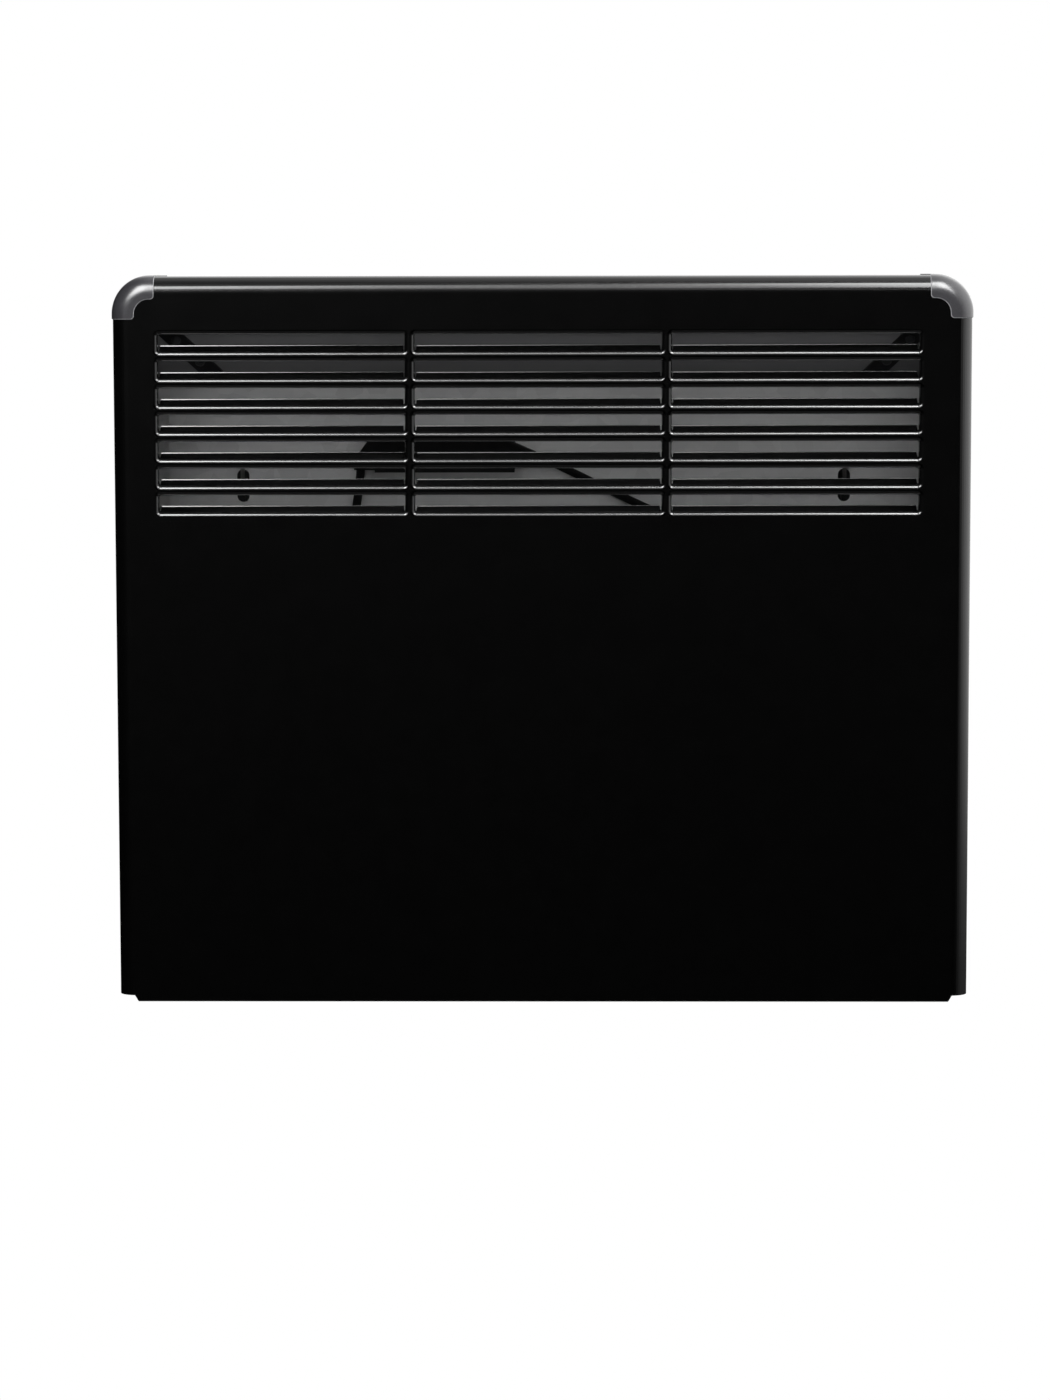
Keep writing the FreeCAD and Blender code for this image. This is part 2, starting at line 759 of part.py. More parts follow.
def wall_bracket():
    """A strip on the wall with two upright plates that end in upturned hooks."""
    body = new_body("wall_bracket")
    gauge, half_height, neck = dim.hook_gauge, dim.bracket_height / 2, dim.hook_neck / 2
    end_x = (dim.hook_spacing + gauge) / 2
    shoulder_y = rear_back + dim.hook_play / 2
    tip_back = rear_front - dim.hook_play
    tip_front = tip_back - dim.hook_tip
    strip_x = end_x + dim.bracket_tail
    strip = sketch_on(body, "XZ_Plane")
    rectangle(strip, -strip_x, -half_height, strip_x, half_height)
    pad(body, strip, gauge)
    hook = sketch_on(body, "YZ_Plane", end_x - gauge)
    outline(hook, [
        (0, -half_height), (0, half_height), (shoulder_y, half_height), (shoulder_y, neck), (tip_back, neck),
        (tip_back, neck + dim.hook_rise), (tip_front, neck + dim.hook_rise), (tip_front, -neck),
        (shoulder_y, -neck), (shoulder_y, -half_height)])
    plate = pad(body, hook, gauge)
    mirror(body, [plate], "YZ_Plane")
    holes = sketch_on(body, "XZ_Plane")
    for x in (-dim.wall_hole_spacing / 2, dim.wall_hole_spacing / 2):
        circle(holes, x, 0, dim.wall_hole_radius)
    cut(body, holes, THROUGH * gauge)


def element_core():
    """An extruded bar with four fins in an X, slit across so that it can expand."""
    body = new_body("element_core")
    axis = (element_y, element_z)
    bar = sketch_on(body, "YZ_Plane", -element_end, axis)
    circle(bar, 0, 0, dim.element_core_radius)
    pad(body, bar, element_length)
    fins = sketch_on(body, "YZ_Plane", -element_end, axis)
    fin_x(fins)
    pad(body, fins, element_length)
    slit = sketch_on(body, "XY_Plane", element_z)
    reach = dim.fin_span
    inner = dim.element_core_radius + 2 * dim.fin_gauge
    start = dim.fin_tab - element_end
    for side in (-1, 1):
        low, high = sorted([element_y + side * inner, element_y + side * reach], key=lambda size: size.value)
        rectangle(slit, start, low, start + dim.fin_slit_width, high)
    slits = cut(body, slit, THROUGH * reach)
    count = math.floor((element_length.value - dim.fin_tab.value) / fin_pitch.value)
    repeat(body, [slits], "X_Axis", fin_pitch, count)


def fin_x(sketch):
    """An X of two crossed bars at 45 degrees, as one outline about the sketch's origin."""
    far = dim.fin_span / math.sqrt(2)
    half = dim.fin_gauge / math.sqrt(2)
    corners = []
    for across, up in ((1, 1), (-1, 1), (-1, -1), (1, -1)):
        ends = [(across * (far + half), up * (far - half)), (across * (far - half), up * (far + half))]
        notch = [(as_size(0), up * 2 * half), (across * 2 * half, as_size(0))]
        if across * up > 0:
            corners += [*ends, notch[0]]
        else:
            corners += [*ends[::-1], notch[1]]
    outline(sketch, corners)


def element_insulator(label, side):
    """A ceramic bush: a collar between the element and its bracket, and a neck through the bracket."""
    body = new_body(label)
    section = sketch_on(body, "XY_Plane", element_z, (0, element_y))
    bore = dim.terminal_radius + dim.seat_clearance
    neck_end = bracket_inside + dim.insulator_neck
    outline(section, [
        (side * element_end, bore), (side * element_end, dim.insulator_collar_radius),
        (side * bracket_inside, dim.insulator_collar_radius), (side * bracket_inside, dim.insulator_radius),
        (side * neck_end, dim.insulator_radius), (side * neck_end, bore)])
    turn(body, section, "H_Axis")


def element_terminals():
    """A pin at each end of the element."""
    body = new_body("element_terminals")
    pin_end = bracket_inside + dim.insulator_neck + dim.terminal_reach
    pin = sketch_on(body, "YZ_Plane", element_end, (element_y, element_z))
    circle(pin, 0, 0, dim.terminal_radius)
    right_pin = pad(body, pin, pin_end - element_end)
    mirror(body, [right_pin], "YZ_Plane")


def element_bracket(label, side):
    """A folded bracket: a foot on the rear panel and an arm with a hole for the ceramic bush."""
    body = new_body(label)
    gauge, half = dim.bracket_gauge, dim.bracket_arm_height / 2
    arm_front = element_y - half
    arm = sketch_on(body, "YZ_Plane", side * bracket_inside)
    outline(arm, [
        (rear_front, element_z - half), (rear_front, element_z + half),
        (arm_front, element_z + half, half / 2), (arm_front, element_z - half, half / 2)])
    circle(arm, element_y, element_z, dim.insulator_radius + dim.seat_clearance)
    pad(body, arm, gauge, reverse=side < 0)
    foot = sketch_on(body, "XZ_Plane", -rear_front)
    near, far = sorted([side * (bracket_inside - dim.bracket_foot), side * (bracket_inside + gauge)],
                       key=lambda size: size.value)
    rectangle(foot, near, element_z - half, far, element_z + half)
    pad(body, foot, gauge)
    holes = sketch_on(body, "XZ_Plane", -rear_front)
    for x, z in element_screw_places():
        if x.value * side > 0:
            circle(holes, x, z, screw_hole)
    cut(body, holes, THROUGH * gauge)


def thermal_cutout():
    """The sleeved overheat cut-out: steep at the left shoulder, drawn out to its lead at the right."""
    body = new_body("thermal_cutout")
    low, high = cutout_bottom, cutout_bottom + dim.cutout_height
    shape = sketch_on(body, "XZ_Plane", -cutout_back)
    outline(shape, [
        (dim.cutout_left, low), (cutout_right - dim.cutout_taper, low), (cutout_right, cutout_end_low),
        (cutout_right, cutout_end_high), (cutout_right - dim.cutout_taper, high),
        (dim.cutout_left + dim.cutout_shoulder, high), (dim.cutout_left, high - dim.cutout_shoulder_fall)])
    pad(body, shape, dim.cutout_depth)
    round_edges(body, dim.cutout_edge, lambda edge: lies_at(edge, "y", cutout_front))


def cutout_clip():
    """A J-shaped clip: its back stands on the rear panel and its tray carries the cut-out."""
    body = new_body("cutout_clip")
    gauge = dim.clip_gauge
    back_top = cutout_bottom + dim.cutout_height - dim.clip_back_drop
    tray_front = cutout_front - dim.seat_clearance
    section = sketch_on(body, "YZ_Plane", clip_left)
    outline(section, [
        (rear_front, cutout_bottom - gauge), (rear_front, back_top), (rear_front - gauge, back_top),
        (rear_front - gauge, cutout_bottom), (tray_front, cutout_bottom),
        (tray_front, cutout_bottom + dim.clip_lip), (tray_front - gauge, cutout_bottom + dim.clip_lip),
        (tray_front - gauge, cutout_bottom - gauge)])
    pad(body, section, clip_length)


def control_bezel():
    """A moulded tub let into the right side wall, with a rim outside and snap ledges behind the sheet."""
    body = new_body("control_bezel")
    wide, tall, wall = dim.tub_width / 2, dim.tub_height / 2, dim.tub_wall
    rim = sketch_on(body, "YZ_Plane", half_width)
    rectangle(rim, control_y - wide - dim.bezel_rim, control_z - tall - dim.bezel_rim,
              control_y + wide + dim.bezel_rim, control_z + tall + dim.bezel_rim, dim.bezel_corner)
    pad(body, rim, dim.bezel_gauge)
    tub = sketch_on(body, "YZ_Plane", floor_back)
    rectangle(tub, control_y - wide, control_z - tall, control_y + wide, control_z + tall)
    pad(body, tub, half_width - floor_back)
    ledge_depth = 2 * dim.sheet_gauge
    ledges = sketch_on(body, "YZ_Plane", half_width - dim.sheet_gauge - dim.seat_clearance)
    reach = dim.seat_clearance + dim.sheet_gauge
    rectangle(ledges, control_y - wide / 2, control_z - tall - reach,
              control_y + wide / 2, control_z + tall + reach)
    pad(body, ledges, ledge_depth, reverse=True)
    hollow = sketch_on(body, "YZ_Plane", tub_floor)
    rectangle(hollow, control_y - wide + wall, control_z - tall + wall, control_y + wide - wall,
              control_z + tall - wall, wall)
    opening = grow(body, "Pocket", hollow, 2 * dim.tub_depth, reverse=True)
    opening.Refine = True
    floor = sketch_on(body, "YZ_Plane", tub_floor)
    circle(floor, control_y, knob_z, dim.bush_radius + dim.seat_clearance)
    circle(floor, control_y, lens_z, dim.lens_radius + dim.seat_clearance)
    half_w, half_h = dim.switch_width / 2 + dim.seat_clearance, dim.switch_height / 2 + dim.seat_clearance
    rectangle(floor, control_y - half_w, switch_z - half_h, control_y + half_w, switch_z + half_h)
    cut(body, floor, THROUGH * wall)


def thermostat_body():
    """The thermostat behind the tub's floor, its bush through the floor and a bore for the shaft."""
    body = new_body("thermostat_body")
    case_start = floor_back - dim.thermostat_depth
    case = sketch_on(body, "YZ_Plane", case_start, (control_y, knob_z))
    half_w, half_h = dim.thermostat_width / 2, dim.thermostat_height / 2
    rectangle(case, -half_w, -half_h, half_w, half_h, dim.tub_wall)
    pad(body, case, dim.thermostat_depth)
    bush = sketch_on(body, "YZ_Plane", floor_back, (control_y, knob_z))
    circle(bush, 0, 0, dim.bush_radius)
    pad(body, bush, dim.tub_wall)
    bore = sketch_on(body, "YZ_Plane", tub_floor, (control_y, knob_z))
    circle(bore, 0, 0, dim.shaft_radius + dim.running_clearance)
    cut(body, bore, 2 * (dim.tub_wall + dim.shaft_seat))


def thermostat_shaft():
    body = new_body("thermostat_shaft")
    start = floor_back - dim.shaft_seat + dim.seat_clearance
    shaft = sketch_on(body, "YZ_Plane", start, (control_y, knob_z))
    circle(shaft, 0, 0, dim.shaft_radius)
    pad(body, shaft, knob_base + dim.shaft_seat - start)


def thermostat_knob():
    """A turned knob with a raised grip bar, bored for the shaft."""
    body = new_body("thermostat_knob")
    end = half_width + dim.knob_proud
    grip_base = end - dim.knob_grip
    skirt = dim.knob_radius - dim.tub_wall
    bore = dim.shaft_radius + dim.running_clearance
    section = sketch_on(body, "XY_Plane", knob_z, (0, control_y))
    outline(section, [
        (knob_base, bore), (knob_base, dim.knob_radius), (knob_base + dim.tub_wall, dim.knob_radius),
        (grip_base, skirt), (grip_base, 0), (knob_base + dim.shaft_seat, 0),
        (knob_base + dim.shaft_seat, bore)])
    turn(body, section, "H_Axis")
    grip = sketch_on(body, "YZ_Plane", grip_base, (control_y, knob_z))
    bar = dim.knob_grip / 2
    rectangle(grip, -bar, -skirt, bar, skirt, dim.knob_grip_corner)
    pad(body, grip, dim.knob_grip)


def switch_housing():
    """The rocker switch's case through the tub's floor, with a rim on it and a cradle for the rocker."""
    body = new_body("switch_housing")
    half_w, half_h = dim.switch_width / 2, dim.switch_height / 2
    at = (control_y, switch_z)
    case = sketch_on(body, "YZ_Plane", tub_floor, at)
    rectangle(case, -half_w, -half_h, half_w, half_h)
    pad(body, case, dim.switch_depth, reverse=True)
    rim = sketch_on(body, "YZ_Plane", tub_floor, at)
    rectangle(rim, -half_w - dim.switch_rim, -half_h - dim.switch_rim, half_w + dim.switch_rim,
              half_h + dim.switch_rim, dim.switch_rim)
    pad(body, rim, dim.switch_rim)
    cradle = sketch_on(body, "YZ_Plane", tub_floor, at)
    gap = 2 * dim.seat_clearance
    rectangle(cradle, -dim.rocker_width / 2 - gap, -dim.rocker_length / 2 - gap, dim.rocker_width / 2 + gap,
              dim.rocker_length / 2 + gap)
    cut(body, cradle, 2 * (dim.rocker_depth + dim.cradle_gap))
    pivot = sketch_on(body, "XZ_Plane", -control_y, (tub_floor, switch_z))
    circle(pivot, 0, 0, dim.pivot_radius + dim.running_clearance)
    cut(body, pivot, dim.rocker_width + 2 * (dim.pivot_reach + gap))


def switch_rocker():
    """The rocker, tipped to its off side, with a pivot pin at each edge."""
    body = new_body("switch_rocker")
    half, foot = dim.rocker_length / 2, dim.rocker_root / 2
    tilt = math.tan(math.radians(dim.rocker_tilt.value))
    rise = dim.switch_rim + half * tilt
    shape = sketch_on(body, "XZ_Plane")
    outline(shape, [
        (-dim.rocker_depth / 2, -foot), (rise + half * tilt, -half), (rise, 0), (rise + half * tilt, half),
        (-dim.rocker_depth / 2, foot)])
    pad(body, shape, dim.rocker_width, symmetric=True)
    pin = sketch_on(body, "XZ_Plane")
    circle(pin, 0, 0, dim.pivot_radius)
    pad(body, pin, dim.rocker_width + 2 * dim.pivot_reach, symmetric=True)
    pivot = FreeCAD.Vector(tub_floor.value, control_y.value, switch_z.value)
    tipped = FreeCAD.Rotation(FreeCAD.Vector(0, 1, 0), dim.rocker_tilt.value)
    body.Placement = FreeCAD.Placement(pivot, tipped)


def pilot_lens():
    """A small domed lamp lens in the tub's floor."""
    body = new_body("pilot_lens")
    radius = dim.lens_radius
    section = sketch_on(body, "XY_Plane", lens_z, (tub_floor, control_y))
    collar = radius + dim.tub_wall / 2
    outline(section, [
        (-dim.tub_wall - radius, 0), (-dim.tub_wall - radius, radius), (0, radius), (0, collar),
        (dim.bezel_gauge, collar), (dim.bezel_gauge + radius / 2, radius), (dim.bezel_gauge + radius, 0)])
    turn(body, section, "H_Axis")


def terminal_block():
    """A three-pole connector on the rear panel, open above and below for the wires."""
    body = new_body("terminal_block")
    half_w, half_h = dim.block_width / 2, dim.block_height / 2
    case = sketch_on(body, "XZ_Plane", -rear_front, (block_x, block_z))
    rectangle(case, -half_w, -half_h, half_w, half_h)
    pad(body, case, dim.block_base)
    poles = sketch_on(body, "XZ_Plane", -(rear_front - dim.block_base), (block_x, block_z))
    half_poles = dim.pole_width * POLES / 2
    rectangle(poles, -half_poles, -half_h, half_poles, half_h)
    pad(body, poles, dim.block_depth - dim.block_base)
    ways = sketch_on(body, "XY_Plane", block_z, (block_x, pole_y()))
    circle(ways, -dim.pole_width, 0, dim.pole_radius)
    way = cut(body, ways, 2 * dim.block_height)
    repeat(body, [way], "X_Axis", dim.pole_width, POLES)


def pole_y():
    return rear_front - (dim.block_base + dim.block_depth) / 2


def inlet_bracket():
    """An angle on the rear panel whose shelf carries the cable gland."""
    body = new_body("inlet_bracket")
    gauge = dim.bracket_gauge
    rise = dim.inlet_foot
    section = sketch_on(body, "YZ_Plane", block_x)
    shelf_front = rear_front - dim.inlet_reach
    outline(section, [
        (rear_front, inlet_z), (rear_front, inlet_z + rise), (rear_front - gauge, inlet_z + rise),
        (rear_front - gauge, inlet_z + gauge), (shelf_front, inlet_z + gauge), (shelf_front, inlet_z)])
    pad(body, section, dim.inlet_width, symmetric=True)
    hole = sketch_on(body, "XY_Plane", inlet_z, (block_x, inlet_y))
    circle(hole, 0, 0, dim.gland_neck_radius + dim.seat_clearance)
    cut(body, hole, THROUGH * gauge)


def cable_gland():
    """A grommet round the cable inlet, with a collar on each side of the shelf."""
    body = new_body("cable_gland")
    bore, neck, collar = dim.gland_bore_radius, dim.gland_neck_radius, dim.gland_collar_radius
    shelf, thick = dim.bracket_gauge, dim.gland_collar
    section = sketch_on(body, "XZ_Plane", -inlet_y, (block_x, inlet_z))
    outline(section, [
        (bore, -thick), (collar, -thick), (collar, 0), (neck, 0), (neck, shelf), (collar, shelf),
        (neck, shelf + thick), (bore, shelf + thick)])
    turn(body, section, "V_Axis")


def earth_stud():
    """A weld stud on the rear panel with its nut."""
    body = new_body("earth_stud")
    radius = dim.stud_radius
    section = sketch_on(body, "XY_Plane", earth_z, (earth_x, 0))
    head_back = rear_back + dim.screw_head / 2
    outline(section, [
        (0, head_back), (2 * radius, head_back), (2 * radius, rear_back), (radius, rear_back),
        (radius, rear_front - dim.stud_length), (0, rear_front - dim.stud_length)])
    turn(body, section, "V_Axis")
    nut = sketch_on(body, "XZ_Plane", -rear_front, (earth_x, earth_z))
    across = dim.nut_half_width
    flat = across * math.tan(math.pi / 6)
    outline(nut, [
        (-across, -flat), (0, -2 * flat), (across, -flat), (across, flat), (0, 2 * flat), (-across, flat)])
    pad(body, nut, dim.nut_height)


def spacer_x():
    return half_width - dim.return_width / 2


def wall_spacers():
    """Two bumpers behind the lower corners that stand on the wall, with pegs through the flanges."""
    body = new_body("wall_spacers")
    section = sketch_on(body, "XY_Plane", bottom + dim.spacer_lift, (spacer_x(), 0))
    peg_end = flange_front - dim.sheet_gauge
    outline(section, [
        (0, 0), (dim.spacer_radius, 0), (dim.spacer_radius, back), (dim.spacer_peg_radius, back),
        (dim.spacer_peg_radius, peg_end), (0, peg_end)])
    mirror(body, [turn(body, section, "V_Axis")], "YZ_Plane")


def screws(label, places, face_y, facing):
    """One screw at each place, its head on the face at face_y and its shank the other way."""
    body = new_body(label)
    for x, z in places:
        section = sketch_on(body, "XY_Plane", z, (x, 0))
        head, shank = face_y + facing * dim.screw_head, face_y - facing * dim.screw_length
        outline(section, [
            (0, head), (dim.screw_head_radius, head), (dim.screw_head_radius, face_y),
            (dim.screw_radius, face_y), (dim.screw_radius, shank), (0, shank)])
        turn(body, section, "V_Axis")


def polygon_ring(centre, axis, radius):
    """The many-sided section of a wire, square to its axis."""
    turned = FreeCAD.Placement(centre, FreeCAD.Rotation(FreeCAD.Vector(0, 0, 1), axis))
    angles = [math.radians(step * 360 / WIRE_SIDES) for step in range(WIRE_SIDES + 1)]
    corners = [FreeCAD.Vector(radius * math.cos(angle), radius * math.sin(angle), 0) for angle in angles]
    return Part.makePolygon([turned.multVec(corner) for corner in corners])


def lead(label, radius, points):
    """A wire along straight runs joined by tangent arcs, as wide as the runs allow."""
    points = [FreeCAD.Vector(*[as_size(part).value for part in point]) for point in points]
    edges = []
    start = points[0]
    radii = []
    for before, corner, after in zip(points, points[1:], points[2:]):
        into, out = (before - corner), (after - corner)
        turn_angle = math.pi - into.getAngle(out)
        tangent = BEND_SHARE * min(into.Length, out.Length)
        into.normalize()
        out.normalize()
        begin, end = corner + into * tangent, corner + out * tangent
        bend = tangent / math.tan(turn_angle / 2)
        radii.append(bend)
        middle = (into + out).normalize()
        inmost = corner + middle * (bend / math.cos(turn_angle / 2) - bend)
        edges.append(Part.LineSegment(start, begin).toShape())
        edges.append(Part.Arc(begin, inmost, end).toShape())
        start = end
    edges.append(Part.LineSegment(start, points[-1]).toShape())
    path = Part.Wire(edges)
    ring = polygon_ring(points[0], points[1] - points[0], radius.value)
    tube = path.makePipeShell([ring], True, False)
    piece = doc.addObject("Part::Feature", label)
    piece.Label = label
    piece.Shape = tube
    sub_parts.append(piece)
    ratio = tube.Volume / (Part.Face(ring).Area * path.Length)
    print(label, "radii", [round(bend, 1) for bend in radii], "volume ratio", round(ratio, 4))


def leads():
    cut_y = cutout_back - dim.cutout_depth / 2
    tab = bracket_inside + dim.insulator_neck + dim.terminal_reach / 2
    left_x = dim.cutout_left + dim.lead_inset
    low = cutout_bottom
    lead("cutout_lead_left", dim.lead_radius, [
        (left_x, cut_y, low), (left_x, cut_y, low - dim.lead_stub),
        (left_x - dim.lead_bow, cut_y, low - dim.lead_fall),
        (-tab, element_y, element_z + dim.lead_rise), (-tab, element_y, element_z + dim.terminal_radius)])
    right_z = (cutout_end_low + cutout_end_high) / 2
    stat_x = floor_back - dim.thermostat_depth
    stat_z = knob_z + dim.lead_entry_rise
    lead("cutout_lead_right", dim.lead_radius, [
        (cutout_right, cut_y, right_z), (cutout_right + dim.lead_exit, cut_y, right_z),
        (cutout_right + dim.lead_run, cut_y, right_z - dim.lead_sink),
        (stat_x - dim.lead_entry, control_y, stat_z), (stat_x, control_y, stat_z)])
    block_top = block_z + dim.block_height / 2
    switch_back = tub_floor - dim.switch_depth
    wire_start = block_top - dim.wire_seat
    live_x, earth_way = block_x + dim.pole_width, block_x - dim.pole_width
    lead("live_lead", dim.wire_radius, [
        (live_x, pole_y(), wire_start), (live_x, pole_y(), switch_z - dim.wire_rise),
        (switch_back - dim.wire_entry, control_y, switch_z), (switch_back, control_y, switch_z)])
    lead("neutral_lead", dim.wire_radius, [
        (block_x, pole_y(), wire_start), (block_x, pole_y(), block_top + dim.wire_seat),
        (tab, element_y, element_z - dim.wire_entry), (tab, element_y, element_z - dim.terminal_radius)])
    stud_y = rear_front - dim.stud_length + dim.wire_radius
    lead("earth_lead", dim.wire_radius, [
        (earth_way, pole_y(), wire_start), (earth_way, pole_y(), block_top + dim.wire_exit),
        (earth_x + dim.wire_entry, stud_y, earth_z), (earth_x + dim.stud_radius, stud_y, earth_z)])


def check_and_write():
    doc.recompute()
    for item in doc.Objects:
        if "Invalid" in item.State or "Error" in item.State:
            raise RuntimeError(f"{item.Label}: {item.State}")
    for piece in sub_parts:
        if piece.Shape.isNull() or not piece.Shape.isValid():
            raise RuntimeError(f"{piece.Label}: no valid shape")
    os.makedirs("parts", exist_ok=True)
    for piece in sub_parts:
        piece.Shape.exportStep(f"parts/{piece.Label}.step")


def main():
    wall_bracket()
    front_panel()
    corner_cap("corner_cap_left", -1)
    corner_cap("corner_cap_right", 1)
    rear_panel()
    air_deflector()
    cap_strap("cap_strap_left", -1)
    cap_strap("cap_strap_right", 1)
    element_core()
    element_insulator("element_insulator_left", -1)
    element_insulator("element_insulator_right", 1)
    element_terminals()
    element_bracket("element_bracket_left", -1)
    element_bracket("element_bracket_right", 1)
    thermal_cutout()
    cutout_clip()
    control_bezel()
    thermostat_body()
    thermostat_shaft()
    thermostat_knob()
    switch_housing()
    switch_rocker()
    pilot_lens()
    terminal_block()
    inlet_bracket()
    cable_gland()
    earth_stud()
    wall_spacers()
    screws("rear_panel_screws", rear_screw_places(), back, 1)
    screws("element_screws", element_screw_places(), rear_front - dim.bracket_gauge, -1)
    leads()
    check_and_write()


main()
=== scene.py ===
import bpy
import bmesh
import math
from mathutils import Matrix, Vector


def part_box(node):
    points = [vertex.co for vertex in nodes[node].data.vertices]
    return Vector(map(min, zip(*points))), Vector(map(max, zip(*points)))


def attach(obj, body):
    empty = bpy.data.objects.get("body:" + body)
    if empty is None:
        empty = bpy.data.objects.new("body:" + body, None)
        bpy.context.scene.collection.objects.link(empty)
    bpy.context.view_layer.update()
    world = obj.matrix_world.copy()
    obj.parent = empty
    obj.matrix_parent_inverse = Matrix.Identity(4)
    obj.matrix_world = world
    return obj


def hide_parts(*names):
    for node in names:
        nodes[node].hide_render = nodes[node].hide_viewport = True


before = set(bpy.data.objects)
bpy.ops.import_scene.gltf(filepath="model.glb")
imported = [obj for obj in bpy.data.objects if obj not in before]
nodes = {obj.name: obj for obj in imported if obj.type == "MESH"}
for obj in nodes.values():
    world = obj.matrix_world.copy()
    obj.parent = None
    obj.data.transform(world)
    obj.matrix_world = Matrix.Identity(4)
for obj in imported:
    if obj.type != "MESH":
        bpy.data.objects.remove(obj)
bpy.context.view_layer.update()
scene = bpy.context.scene
print("frame loaded,", len(nodes), "nodes")


# places taken from the frame, in millimetres

perMetre = 1000  # millimetres in a metre


def boxOf(node):
    return [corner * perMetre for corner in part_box(node)]


def middleOf(node):
    low, high = boxOf(node)
    return (low + high) / 2


casingLow, casingHigh = boxOf("front_panel")
slotGrid = {"fromSide": 24.1, "fromTop": 30.3, "length": 129.4, "height": 8.7, "columns": 3,
            "columnPitch": 134.75, "rows": 7, "rowPitch": 14.05}  # the grille in the casing's front


def slotSpans():
    # left and right end of each column of slots, lower and upper edge of each row
    left, top = casingLow.x + slotGrid["fromSide"], casingHigh.z - slotGrid["fromTop"]
    starts = [left + slotGrid["columnPitch"] * k for k in range(slotGrid["columns"])]
    tops = [top - slotGrid["rowPitch"] * k for k in range(slotGrid["rows"])]
    columns = [(start, start + slotGrid["length"]) for start in starts]
    rows = [(edge - slotGrid["height"], edge) for edge in tops]
    return columns, rows


# small helpers for shader trees, which work in metres

usualStops = (0.3, 0.7)  # where most noises and waves turn from dark to light
mixColours = {"first": 6, "second": 7, "result": 2}  # the colour sockets of a mix node


def clearTree(owner, output):
    owner.use_nodes = True
    tree = owner.node_tree
    tree.nodes.clear()
    return tree, tree.nodes.new(output)


def newFinish(name):
    mat = bpy.data.materials.new(name)
    tree, out = clearTree(mat, "ShaderNodeOutputMaterial")
    shader = tree.nodes.new("ShaderNodeBsdfPrincipled")
    tree.links.new(shader.outputs["BSDF"], out.inputs["Surface"])
    return mat, tree, shader


def objectCoords(tree, stretch=(1, 1, 1)):
    # object space is the heater's own frame in metres
    coords = tree.nodes.new("ShaderNodeTexCoord")
    mapping = tree.nodes.new("ShaderNodeMapping")
    mapping.inputs["Scale"].default_value = stretch
    tree.links.new(coords.outputs["Object"], mapping.inputs["Vector"])
    return mapping.outputs["Vector"]


def along(tree, vector, letter):
    split = tree.nodes.new("ShaderNodeSeparateXYZ")
    tree.links.new(vector, split.inputs["Vector"])
    return split.outputs[letter]


def noise(tree, where, scale, detail=2.0, rough=0.5):
    tex = tree.nodes.new("ShaderNodeTexNoise")
    tex.inputs["Scale"].default_value = scale
    tex.inputs["Detail"].default_value = detail
    tex.inputs["Roughness"].default_value = rough
    tree.links.new(where, tex.inputs["Vector"])
    return tex.outputs["Fac"]


def cells(tree, where, scale):
    # one grey tone per cell
    tex = tree.nodes.new("ShaderNodeTexVoronoi")
    tex.inputs["Scale"].default_value = scale
    tree.links.new(where, tex.inputs["Vector"])
    grey = tree.nodes.new("ShaderNodeRGBToBW")
    tree.links.new(tex.outputs["Color"], grey.inputs["Color"])
    return grey.outputs["Val"]


def wave(tree, where, direction, scale, waviness=0.0):
    tex = tree.nodes.new("ShaderNodeTexWave")
    tex.bands_direction = direction
    tex.inputs["Scale"].default_value = scale
    tex.inputs["Distortion"].default_value = waviness
    tree.links.new(where, tex.inputs["Vector"])
    return tex.outputs["Fac"]


def ramp(tree, factor, stops):
    node = tree.nodes.new("ShaderNodeValToRGB")
    band = node.color_ramp
    while len(band.elements) < len(stops):
        band.elements.new(0.5)
    for element, (place, colour) in zip(band.elements, stops):
        element.position = place
        element.color = (*colour, 1)
    tree.links.new(factor, node.inputs["Fac"])
    return node.outputs["Color"]


def rise(tree, value, low, high, start=0.0, end=1.0, smooth=False):
    node = tree.nodes.new("ShaderNodeMapRange")
    if smooth:
        node.interpolation_type = "SMOOTHSTEP"
    for key, number in (("From Min", low), ("From Max", high), ("To Min", start), ("To Max", end)):
        node.inputs[key].default_value = number
    tree.links.new(value, node.inputs["Value"])
    return node.outputs["Result"]


def maths(tree, operation, first, second):
    node = tree.nodes.new("ShaderNodeMath")
    node.operation = operation
    for socket, value in zip(node.inputs, (first, second)):
        if isinstance(value, (int, float)):
            socket.default_value = value
        else:
            tree.links.new(value, socket)
    return node.outputs["Value"]


def between(tree, value, zones, soft):
    # 1 inside the zones of a coordinate, 0 outside them
    low, high = zones[0][0] - 2 * soft, zones[-1][1] + 2 * soft
    stops = []
    for start, end in zones:
        for place, tone in ((start - soft, 0), (start, 1), (end, 1), (end + soft, 0)):
            stops.append(((place - low) / (high - low), (tone,) * 3))
    return ramp(tree, rise(tree, value, low, high), stops)


def mixed(tree, factor, first, second):
    node = tree.nodes.new("ShaderNodeMix")
    node.data_type = "RGBA"
    tree.links.new(factor, node.inputs["Factor"])
    for key, value in (("first", first), ("second", second)):
        socket = node.inputs[mixColours[key]]
        if isinstance(value, tuple):
            socket.default_value = (*value, 1)
        else:
            tree.links.new(value, socket)
    return node.outputs[mixColours["result"]]


def mixedShader(tree, factor, first, second):
    node = tree.nodes.new("ShaderNodeMixShader")
    for socket, value in zip(node.inputs, (factor, first, second)):
        tree.links.new(value, socket)
    return node.outputs["Shader"]


def twoTone(tree, factor, dark, light, stops=usualStops):
    return ramp(tree, factor, [(stops[0], dark), (stops[1], light)])


def paint(tree, shader, factor, values):
    tones = twoTone(tree, factor, values["dark"], values["light"], values.get("stops", usualStops))
    tree.links.new(tones, shader.inputs["Base Color"])


